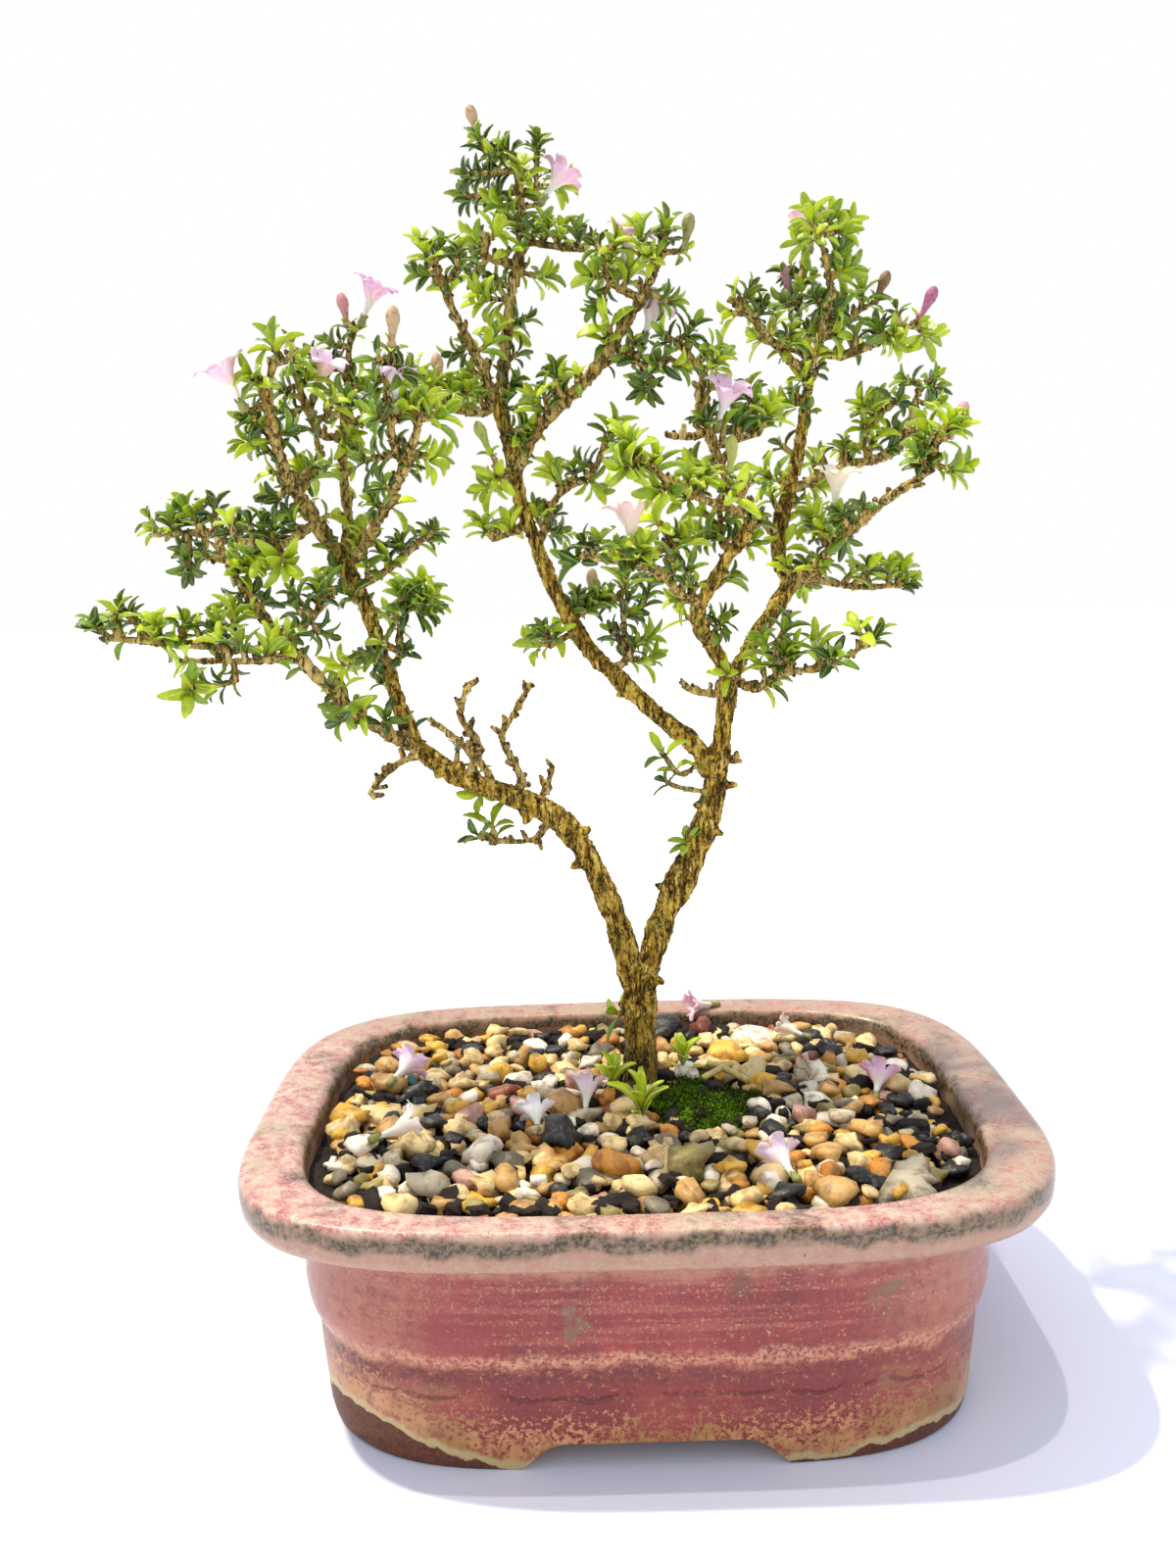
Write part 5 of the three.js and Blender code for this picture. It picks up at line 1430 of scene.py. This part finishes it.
@dataclass
class DrainScreens:
    """The two moulded screens over the drain holes, kept from the CAD frame."""

    nodes: tuple[str, ...] = ("drain_screen_left", "drain_screen_right")

    def build(self) -> None:
        """Give the screens their plastic."""
        for name in self.nodes:
            dressed(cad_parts[name].data, ScreenPlastic())
            logging.info("%s: kept from the frame", name)


# The tree


@dataclass
class Foliage:
    """Leaves, buds and fine twigs along grown parts."""

    seed: int = 3
    # Twigs that end above this height are in the sun, and carry more leaves
    crown_height: float = 138.0
    rng: random.Random = field(init=False)
    leaf: bpy.types.Mesh = field(init=False)
    bud_shape: bpy.types.Mesh = field(init=False)

    def __post_init__(self) -> None:
        """Make the templates that are repeated."""
        self.rng = random.Random(self.seed)
        self.leaf = self.leaf_template()
        self.bud_shape = self.bud_template()

    def leaf_template(self) -> bpy.types.Mesh:
        """Model one blunt oval leaf of length and width 1, folded at its rib and arched.

        Returns:
            The template.
        """
        bm = bmesh.new()
        bm.loops.layers.uv.new("UVMap")
        bmesh.ops.create_grid(bm, x_segments=2, y_segments=4, size=0.5, calc_uvs=True)
        for vertex in bm.verts:
            along = 1 - (0.5 - vertex.co.y) ** 1.4
            half = max(0.3 if along > 0.5 else 0.1, math.sin(math.pi * min(1, along) ** 1.2) ** 0.6)
            across = vertex.co.x * half
            vertex.co = (across, along, 0.24 * abs(across) + 0.34 * along - 0.42 * along ** 2)
        bmesh.ops.solidify(bm, geom=bm.faces[:], thickness=0.045)
        bmesh.ops.recalc_face_normals(bm, faces=bm.faces)
        return as_mesh(bm, "leaf")

    def bud_template(self) -> bpy.types.Mesh:
        """Model one closed bud that stands along Z, on its calyx.

        Returns:
            The template.
        """
        bm = spun([(0, 0), (0.75, 0.1), (0.95, 0.9), (0.62, 1.7), (0.66, 2.6), (0.9, 3.9), (1.3, 5.2), (1.28, 6.2),
                   (0.85, 7.3), (0.3, 7.8), (0, 7.9)], 15)
        for vertex in bm.verts:
            angle = math.atan2(vertex.co.y, vertex.co.x)
            fold = 1 + 0.1 * math.sin(5 * angle + 0.5 * vertex.co.z) * (1 if vertex.co.z > 2 else 0)
            vertex.co.x *= fold
            vertex.co.y *= fold
        return as_mesh(bm, "bud")

    def whorl(self, bm: bmesh.types.BMesh, centre: Vector, axis: Vector, length: float, width: float,
              count: int, age: float, lowest: float = 0.3) -> None:
        """Add a tuft of leaves, the outer ones spread and the inner ones upright.

        Args:
            bm: The leaves so far.
            centre: Where the tuft stands.
            axis: Where it points.
            length: The longest leaf's length.
            width: The widest leaf's width.
            count: How many leaves it has.
            age: From 0 for young to 1 for old.
            lowest: How steeply the outermost leaves rise, in radians.
        """
        side = axis.cross(Vector((0.3, 0.1, 1))).normalized()
        other = axis.cross(side)
        start = self.rng.uniform(0, 6.3)
        layers = (count + 1) // 2
        for i in range(count):
            layer = i // 2
            inner = layer / layers
            # Each pair stands across the one below it
            turn = start + 1.57 * layer + math.pi * (i % 2) + self.rng.uniform(-0.35, 0.35)
            rise = lowest + (1.3 - lowest) * inner + self.rng.uniform(-0.25, 0.25)
            out = side * math.cos(turn) + other * math.sin(turn)
            forward = out * math.cos(rise) + axis * math.sin(rise)
            up = axis * math.cos(rise) - out * math.sin(rise)
            reach = length * (1 - 0.35 * inner) * self.rng.uniform(0.75, 1.1)
            breadth = width * (1 - 0.2 * inner) * self.rng.uniform(0.85, 1.15)
            size = Vector((breadth, reach, reach * self.rng.uniform(0.6, 1.3)))
            foot = centre + axis * (0.8 * (layer - 0.5 * layers)) + out * 0.2
            tone = min(1, max(0, age * (1 - 0.35 * inner) + self.rng.uniform(-0.3, 0.3)))
            stamp(bm, self.leaf, facing_matrix(foot, forward, up, size), tone=tone)

    def pair(self, bm: bmesh.types.BMesh, foot: Vector, along: Vector, length: float, age: float) -> None:
        """Add two small leaves on opposite sides of a twig.

        Args:
            bm: The leaves so far.
            foot: Where they stand.
            along: Where the twig points.
            length: Their length.
            age: From 0 for young to 1 for old.
        """
        turn = self.rng.uniform(0, 6.3)
        side = along.cross(Vector((0.3, 0.1, 1))).normalized()
        other = along.cross(side).normalized()
        for half in (0, math.pi):
            out = side * math.cos(turn + half) + other * math.sin(turn + half)
            forward = out + along.normalized() * self.rng.uniform(0.3, 0.9)
            reach = length * self.rng.uniform(0.8, 1.1)
            matrix = facing_matrix(foot + out * 0.4, forward, along, Vector((0.36 * reach, reach, reach)))
            stamp(bm, self.leaf, matrix, tone=min(1, max(0, age + self.rng.uniform(-0.15, 0.15))))

    def spurs(self, path: Sequence[Vector], spacing: float, leafy: float,
              leaves: bmesh.types.BMesh) -> list[Course]:
        """Grow short knobby side shoots all round a piece of wood, most of them with a small tuft.

        Args:
            path: The wood's points of three places and a radius.
            spacing: The mean distance between side shoots.
            leafy: The share of them with leaves.
            leaves: The leaves so far.

        Returns:
            The side shoots' paths.
        """
        shoots = []
        travelled, due = 0.0, self.rng.uniform(0.4, 1) * spacing
        for before, point in zip(path, path[1:]):
            step = (point - before).to_3d()
            travelled += step.length
            if travelled < due:
                continue
            due += spacing * self.rng.uniform(0.6, 1.4)
            along = step.normalized()
            turn = self.rng.uniform(0, 2 * math.pi)
            side = along.cross(Vector((0.2, 0.1, 1))).normalized()
            out = side * math.cos(turn) + along.cross(side) * math.sin(turn)
            out.z = max(out.z, -0.3)
            heading = out + along * self.rng.uniform(0.1, 0.8) + Vector((0, 0, self.rng.uniform(0.1, 0.9)))
            heading.normalize()
            has_leaves = self.rng.random() < leafy
            length = point[3] + (self.rng.uniform(1.6, 4.2) if has_leaves else self.rng.uniform(0.7, 2.2))
            foot, tip = point.to_3d(), point.to_3d() + heading * length
            middle = (foot + tip) / 2 + side * self.rng.uniform(-0.4, 0.4)
            shoots.append([Vector((*foot, 0.75)), Vector((*middle, 0.7)), Vector((*tip, 0.6)),
                           Vector((*(tip + heading * 0.3), 0.25))])
            if has_leaves:
                age = self.rng.choice((0.05, 0.35, 0.6, 0.9, 1.0, 1.0))
                size = self.rng.uniform(3.8, 6.0) + (1.8 if age < 0.1 else 0)
                count = 4 if age < 0.1 else self.rng.choice((4, 6, 6, 8))
                self.whorl(leaves, tip, heading, size, 0.35 * size, count, age)
        return shoots

    def dress(self,
              parts: Sequence[tuple[Part, Path]]) -> tuple[list[Course], bmesh.types.BMesh, bmesh.types.BMesh]:
        """Grow the wood, leaves and buds of some parts.

        Args:
            parts: The parts with their rows.

        Returns:
            Paths of the wood, the leaves and the buds.
        """
        wood, leaves, buds = [], bmesh.new(), bmesh.new()
        for part, rows in parts:
            if part.kind is Kind.LIMB:
                path = traced(rows, 0.8, 1.08)
                wood += [path, *self.spurs(path, 2.7, 0.52, leaves)]
                continue
            points = [place(*row[:3]) for row in rows]
            points[0] = points[0] + (points[0] - points[1]).normalized() * 0.3
            thick = {Kind.STEM: 1.05, Kind.BARE: 0.95}.get(part.kind, 0.72)
            thin = 0.5 if part.kind in (Kind.BUD, Kind.BLOOM) else 0.62
            radii = [thick + (thin - thick) * i / (len(points) - 1) for i in range(len(points))]
            path = smoothed([(*point, radius) for point, radius in zip(points, radii)], 0.8)
            wood.append(path)
            tip = points[-1]
            is_high = tip.z > self.crown_height
            axis = ((tip - points[-2]).normalized() + Vector((0, 0, 0.5))).normalized()
            if part.kind is Kind.STEM:
                wood += self.spurs(path, 2.9, 0.6 if is_high else 0, leaves)
            if part.kind is Kind.BARE:
                wood += self.spurs(path, 2.4, 0.0, leaves)
            if part.kind in (Kind.OLD, Kind.YOUNG):
                is_old = part.kind is Kind.OLD
                length, width, age = (5.4, 1.9, 0.95) if is_old else (6.6, 2.3, 0.4)
                self.whorl(leaves, tip, axis, length, width, 9 if is_high else 4, age)
                for i in range(2, len(path) - 1, 3 if is_high else 9):
                    along = (path[i + 1] - path[i - 1]).to_3d()
                    self.pair(leaves, path[i].to_3d(), along, self.rng.uniform(3.2, 5), age)
            if part.kind is Kind.BUD:
                facing = heading_of(part)
                seat = standing_matrix(tip - facing * 0.4, facing)
                stamp(buds, self.bud_shape, seat, tint=linear(part.skin.value))
                self.whorl(leaves, tip, axis, 3.6, 1.4, 5, 0.5)
        return wood, leaves, buds


@dataclass
class SerissaTree:
    """Trunk, limbs and branches with all that grows on them."""

    foliage: Foliage
    # Each limb's number, the height from which it bears side shoots, and their mean distance
    clothed: tuple[tuple[int, float, float], ...] = ((1, 138, 3.4), (3, 176, 3.6), (4, 146, 3.0), (5, 158, 2.8),
                                                     (0, 119, 6))

    def knobbed(self, paths: list[Course], share: float = 0.5, size: float = 1.1) -> list[Course]:
        """Vary the radii along wood, as old leaf scars do.

        Args:
            paths: The wood's paths.
            share: How much of the radius comes and goes.
            size: The distance between knobs, in millimetres.

        Returns:
            The same paths with uneven radii.
        """
        for path in paths:
            for point in path:
                point[3] *= 1 + share * noise.noise(point.to_3d() / size)
        return paths

    def thick_wood(self) -> None:
        """Grow the trunk and limbs as one skin of cracked bark, with knots where twigs were cut off."""
        paths = self.knobbed([traced(rows, 1.2) for rows in (TRUNK, *LIMBS)], 0.22, 4.5)
        for across, up, back, radius in KNOTS:
            root = place(*nearest((TRUNK, *LIMBS), (across, up)))
            tip = place(across, up, back)
            paths.append([Vector((*root, radius * 1.9)), Vector((*root.lerp(tip, 0.75), radius * 0.95)),
                          Vector((*tip, radius * 0.5))])
        clouds = bpy.data.textures.new("bark_lumps", "CLOUDS")
        clouds.noise_scale = 2.4
        bm = reopened(applied(tubes(paths, 5), ("REMESH", {"mode": "VOXEL", "voxel_size": 0.42}),
                              ("SMOOTH", {"factor": 0.5, "iterations": 3}),
                              ("DISPLACE", {"texture": clouds, "strength": 0.8, "mid_level": 0.5})))
        bm.normal_update()
        for vertex in bm.verts:
            # Splits follow the wood's length, which is close to upright in the trunk
            at = Vector((vertex.co.x / 1.1, vertex.co.y / 1.1, vertex.co.z / 5))
            split = max(0.0, 1 - 9 * abs(noise.noise(at)))
            scales = noise.noise(vertex.co / 1.0)
            vertex.co += vertex.normal * (0.3 * scales - 0.55 * split)
        piece("trunk_wood", as_mesh(bm, "trunk"), SerissaBark(), "bark", "trunk_and_limbs")

    def scaly(self, paths: list[Course]) -> bpy.types.Mesh:
        """Make twigs with dark crumbs of old leaf bases and flaking bark all over them.

        Args:
            paths: The wood's paths.

        Returns:
            The mesh, with the crumbs marked by their tone.
        """
        rng = self.foliage.rng
        lump = bmesh.new()
        bmesh.ops.create_icosphere(lump, subdivisions=1, radius=1)
        rough(lump, 0.8, 0.6)
        crumb = as_mesh(lump, "crumb")
        bm = reopened(tubes(self.knobbed(paths), 1))
        for path in paths:
            for point in path[1::2]:
                if rng.random() < 0.75:
                    out = Vector((rng.uniform(-1, 1), rng.uniform(-1, 1), rng.uniform(-1, 1))).normalized()
                    size = rng.uniform(0.3, 0.62)
                    shape = Matrix.Diagonal((size, size, size * rng.uniform(0.7, 1.5), 1))
                    seat = Matrix.Translation(point.to_3d() + out * point[3] * 0.85)
                    stamp(bm, crumb, seat @ shape, tone=rng.choice((0.3, 0.7, 1)))
        return as_mesh(bm, "twigs")

    def branch(self, name: str, parts: list[tuple[Part, Path]]) -> None:
        """Grow one branch.

        Args:
            name: The CAD node that it stands for.
            parts: Its parts with their rows.
        """
        wood, leaves, buds = self.foliage.dress(parts)
        piece(name + ".wood", self.scaly(wood), TWIG_BARK, "bark", name)
        if len(leaves.verts) > 0:
            piece(name + ".leaves", as_mesh(leaves, "leaves"), LeafBlade(), "leaf", name)
        if len(buds.verts) > 0:
            piece(name + ".buds", as_mesh(buds, "buds"), TintedSkin(), "petal", name)

    def upper_limbs(self) -> None:
        """Clothe the upper limbs with side shoots where the crown begins."""
        wood, leaves = [], bmesh.new()
        for number, from_height, spacing in self.clothed:
            high = [point for point in traced(LIMBS[number], 0.8) if point.z > from_height]
            wood += self.foliage.spurs(high, spacing, 0.55, leaves)
        piece("limb_spurs.wood", self.scaly(wood), TWIG_BARK, "bark", "trunk_and_limbs")
        piece("limb_spurs.leaves", as_mesh(leaves, "leaves"), LeafBlade(), "leaf", "trunk_and_limbs")

    def build(self) -> list[tuple[Part, Vector]]:
        """Grow the whole tree.

        Returns:
            Each open flower's part with the tip of its twig.
        """
        self.thick_wood()
        self.upper_limbs()
        trunk = [TRUNK, *LIMBS]
        thick = [*trunk, *(part.path for _, *parts in BRANCHES for part in parts if part.kind is Kind.LIMB)]
        plants = [("trunk_and_limbs", grown(TRUNK_GROWTH, thick, trunk))]
        plants += [(name, grown(parts, thick)) for name, *parts in BRANCHES]
        for name, parts in plants:
            self.branch(name, parts)
        return [(part, place(*rows[-1][:3])) for _, parts in plants for part, rows in parts
                if part.kind is Kind.BLOOM]


# Each flower's tint by its CAD node, and each fallen flower's turn, tilt and size
TINTS: dict[str, str] = {
    "flower_crown": "#e391cd", "flower_far_left": "#ecb2d8", "flower_inner_left": "#f0c0dd",
    "flower_inner_right": "#efbbdd", "flower_crest": "#e7a0d2", "flower_post": "#e9abd5",
    "flower_east_low": "#efc6da", "flower_inner_east": "#edabd4", "flower_pale": "#e0b8ae",
    "flower_east": "#e9dfae", "flower_upper_right": "#ecb9d8", "fallen_left": "#e3b9df",
    "fallen_front_left": "#f0dccb", "fallen_by_trunk": "#f6dcea", "fallen_middle": "#f4ede8",
    "fallen_on_rim": "#eaa9c9", "fallen_back_right": "#d9c4a4", "fallen_right": "#d7bf9a",
    "fallen_star": "#eba4cf", "fallen_front": "#f2cfe0",
}
FALLEN: tuple[tuple[str, float, float, float], ...] = (
    ("fallen_left", 60, 74, 0.95), ("fallen_front_left", 25, 80, 1), ("fallen_by_trunk", 80, 40, 0.9),
    ("fallen_middle", 100, 78, 0.85), ("fallen_on_rim", 200, 84, 0.85), ("fallen_back_right", 150, 80, 0.8),
    ("fallen_right", 200, 84, 0.8), ("fallen_star", 70, 66, 0.9), ("fallen_front", 110, 78, 0.95),
)


@dataclass
class Flowers:
    """Open flowers on the twigs and fallen ones on the gravel."""

    profile: Path = ((0.45, 0), (0.5, 1.2), (0.6, 2.4), (0.8, 3.6), (1.1, 4.7), (1.5, 5.7), (1.95, 6.6), (2.5, 7.4),
                     (3.15, 8.0), (3.85, 8.35), (4.5, 8.3), (4.95, 7.9))
    calyx_profile: Path = ((0, -1.0), (0.8, -0.9), (1.0, 0), (0.8, 1.0), (0.9, 1.7), (0.62, 1.5), (0.5, 0.4),
                           (0, 0.2))
    throat_row: int = 5
    notch: float = 0.25
    lobes: int = 5
    scale: float = 1.12
    # How fast the lobes widen. The two palest flowers have slimmer ones.
    widening: float = 0.65
    slim_widening: float = 0.9
    slim: tuple[str, ...] = ("flower_pale", "flower_east")
    # The flower on the rim leans over the rim's inner edge
    rim_lean: Row = (0, 3.5, 2.6)
    calyx_tint: str = "#8c8f4a"

    def corolla(self, widening: float) -> bpy.types.Mesh:
        """Model one trumpet that stands along Z, with pointed lobes that curl back.

        Args:
            widening: How fast its lobes widen.

        Returns:
            The mesh.
        """
        last = len(self.profile) - 1
        bm = spun([(1, row) for row in range(last + 1)], 60)
        tones = bm.verts.layers.float.new("tone")
        for vertex in bm.verts:
            row = vertex.co.z
            angle = math.atan2(vertex.co.y, vertex.co.x)
            lobe = 1 - abs(2 * (angle * self.lobes / (2 * math.pi) % 1) - 1)
            if row > self.throat_row:
                share = self.notch + (1 - self.notch) * lobe ** widening
                row = self.throat_row + (row - self.throat_row) * share
            below = min(last - 1, int(row))
            radius, height = (a + (b - a) * (row - below)
                              for a, b in zip(self.profile[below], self.profile[below + 1]))
            vertex[tones] = row / last
            out = max(0, row - self.throat_row) / (last - self.throat_row)
            height += 0.5 * out * (1 - lobe)
            vertex.co = (radius * math.cos(angle), radius * math.sin(angle), height)
        bmesh.ops.solidify(bm, geom=bm.faces[:], thickness=0.14)
        rough(bm, 2.6, 0.5, self.lobes + self.scale + widening)
        bmesh.ops.scale(bm, vec=(self.scale,) * 3, verts=bm.verts)
        return as_mesh(bm, "corolla")

    def flower(self, name: str, matrix: Matrix, slot: str) -> None:
        """Stand one flower in the scene.

        Args:
            name: The CAD node that it stands for.
            matrix: Where it goes.
            slot: The record's material slot.
        """
        bm = bmesh.new()
        pale = Vector(linear(TINTS[name])).lerp(Vector((1, 0.88, 0.94, 1)), 0.3)
        corolla = self.corolla(self.slim_widening if name in self.slim else self.widening)
        stamp(bm, corolla, matrix, tint=tuple(pale))
        piece(name + ".petals", as_mesh(bm, "petals"), Petal(), slot, name)
        calyx = spun(self.calyx_profile, 20)
        for vertex in calyx.verts:
            if vertex.co.z > 1.2:
                vertex.co.z += 0.5 * math.cos(self.lobes * math.atan2(vertex.co.y, vertex.co.x))
        cup = bmesh.new()
        stamp(cup, as_mesh(calyx, "calyx"), matrix, tint=linear(self.calyx_tint))
        piece(name + ".calyx", as_mesh(cup, "calyx"), TintedSkin(), "leaf", name)

    def build(self, open_flowers: Sequence[tuple[Part, Vector]]) -> None:
        """Stand the open flowers on their twigs and lay the fallen ones down.

        Args:
            open_flowers: Each open flower's part with the tip of its twig.
        """
        for part, tip in open_flowers:
            facing = heading_of(part)
            self.flower(part.name, standing_matrix(tip + facing * 0.85, facing), "petal")
        for name, turn, tilt, scale in FALLEN:
            middle = middle_of(name)
            lay = Matrix.Rotation(math.radians(turn), 4, "Z") @ Matrix.Rotation(math.radians(tilt), 4, "Y")
            down = lay @ Matrix.Translation((0, 0, -4.6)) @ Matrix.Scale(scale, 4)
            if name == "fallen_on_rim":
                middle -= Vector(self.rim_lean)
            self.flower(name, Matrix.Translation(middle) @ down, "faded_petal")


@dataclass
class GroundGrowth:
    """Basal shoots, rootlets on the moss and a dead leaf."""

    foliage: Foliage
    shoots: tuple[tuple[str, float, float, int, float], ...] = (
        ("shoot_front", 0, -6, 5, 7.5), ("shoot_left", -6.2, 8, 4, 6), ("shoot_right", 10.8, 19, 4, 5.5))
    rootlets: tuple[Path, ...] = (
        ((17.5, 22, 2.2), (17.8, 18, 3.2), (19.5, 14.5, 3.9), (22.3, 11.8, 3.4), (25.4, 9.4, 2.4)),
        ((15, 9, 3.6), (18.5, 12, 4), (21.5, 16.5, 3.6), (24, 19.4, 2.2)))
    strand_radius: float = 0.75
    # How far under the CAD rootlets' lowest point the strands' heights begin
    strand_drop: float = 0.75
    rootlet_tint: str = "#c9b468"
    dead_leaf_tint: str = "#a08433"

    def build(self) -> None:
        """Grow the shoots, lay the rootlets and the dead leaf."""
        for name, x, y, count, length in self.shoots:
            foot = Vector((x, y, GRAVEL_TOP - 1.3))
            tip = Vector((x + 0.4, y, GRAVEL_TOP + 4.8))
            wood = tubes([smoothed([(*foot, 0.5), (*tip, 0.45)], 1)], 1)
            piece(name + ".stalk", wood, TWIG_BARK, "leaf", name)
            leaves = bmesh.new()
            self.foliage.whorl(leaves, tip, UP, length * 1.3, 2.7, count + 3, 0.12, 0.95)
            self.foliage.pair(leaves, (foot + tip) / 2, UP, 4.5, 0.25)
            piece(name + ".leaves", as_mesh(leaves, "leaves"), LeafBlade(), "leaf", name)
        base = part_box("surface_rootlets")[0][2] * 1000 - self.strand_drop
        strands = [smoothed([(x, y, base + height, self.strand_radius) for x, y, height in rows], 0.8)
                   for rows in self.rootlets]
        bm = bmesh.new()
        stamp(bm, tubes(strands, 1), Matrix.Identity(4), tint=linear(self.rootlet_tint))
        piece("rootlet_strands", as_mesh(bm, "rootlets"), TintedSkin(), "root", "surface_rootlets")
        bm = bmesh.new()
        foot = middle_of("withered_leaf") - Vector((3.2, 2.8, 0.6))
        matrix = facing_matrix(foot, Vector((0.76, 0.64, 0.05)), UP, Vector((3.6, 8.6, 6)))
        stamp(bm, self.foliage.leaf, matrix, tint=linear(self.dead_leaf_tint))
        piece("curled_dead_leaf", as_mesh(bm, "dead_leaf"), TintedSkin(), "withered", "withered_leaf")


# The studio


@dataclass
class Studio:
    """Pale table, soft light from the upper left and back, and the camera."""

    eye: Row = (-10.34, -277.94, 170.71)
    forward: Row = (0.0028, 0.9844, -0.1761)
    roll: float = 1.43
    focal_px: float = 1357.97
    picture: tuple[int, int] = (1200, 1600)
    sensor: float = 36.0
    floor_half: float = 3.0
    # Each lamp's name, where it stands as seen from the pot, watts a square metre, degrees across and colour
    lamps: tuple[tuple[str, Row, float, float, str], ...] = (
        ("window", (-0.42, 0.12, 1), 3.2, 2, "#fff2dc"), ("skylight", (-0.08, 0.02, 1), 0.7, 0.8, "#fff6ea"))
    room_tint: str = "#e2e6f3"
    room_strength: float = 1.08

    def camera(self) -> None:
        """Stand the camera where the picture was taken from."""
        data = bpy.data.cameras.new("camera")
        data.sensor_fit = "AUTO"
        data.sensor_width = self.sensor
        data.lens = self.sensor * self.focal_px / max(self.picture)
        data.clip_start = 0.01
        forward = Vector(self.forward).normalized()
        right = forward.cross(UP).normalized()
        up = right.cross(forward)
        turn = math.radians(self.roll)
        x = right * math.cos(turn) - up * math.sin(turn)
        y = right * math.sin(turn) + up * math.cos(turn)
        camera = shown("camera", data)
        facing = Matrix((x, y, -forward)).transposed().to_4x4()
        camera.matrix_world = Matrix.Translation(SHIFT + Vector(self.eye) / 1000) @ facing
        bpy.context.scene.camera = camera

    def light(self, name: str, towards: Row, strength: float, spread_degrees: float, code: str) -> None:
        """Hang one distant lamp.

        Args:
            name: The light's name.
            towards: Where it stands, seen from the pot.
            strength: Its strength in watts a square metre.
            spread_degrees: Its width in the sky.
            code: Its colour.
        """
        data = bpy.data.lights.new(name, "SUN")
        data.energy = strength
        data.angle = math.radians(spread_degrees)
        data.color = linear(code)[:3]
        shown(name, data).matrix_world = (-Vector(towards)).to_track_quat("-Z", "Y").to_matrix().to_4x4()

    def build(self) -> None:
        """Lay the floor, hang the lights and stand the camera."""
        self.camera()
        bm = bmesh.new()
        bmesh.ops.create_grid(bm, x_segments=8, y_segments=8, size=self.floor_half)
        mesh = as_mesh(bm, "table_top")
        dressed(mesh, PaleTable())
        shown("table_top", mesh)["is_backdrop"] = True
        for lamp in self.lamps:
            self.light(*lamp)
        # The camera sees a white room, and the room's light is a little cooler and stronger
        world = bpy.data.worlds.new("room_light")
        world.use_nodes = True
        paint = Paint(world.node_tree)
        seen = paint.add("LightPath", output="Is Camera Ray")
        background = world.node_tree.nodes["Background"]
        paint.put(background.inputs["Color"], paint.add("Mix", seen, self.room_tint, "#ffffff"))
        paint.put(background.inputs["Strength"], paint.share((seen, 0.0, 1.0, self.room_strength, 1.0)))
        bpy.context.scene.world = world
        bpy.context.scene.view_settings.view_transform = "Standard"


def main() -> None:
    """Build the studio, the pot and the tree in order."""
    logging.basicConfig(level=logging.INFO, format="%(message)s")
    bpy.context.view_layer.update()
    Studio().build()
    BonsaiPot().build()
    DrainScreens().build()
    PotSurface().build()
    foliage = Foliage()
    open_flowers = SerissaTree(foliage).build()
    Flowers().build(open_flowers)
    GroundGrowth(foliage).build()


if __name__ == "__main__":
    main()
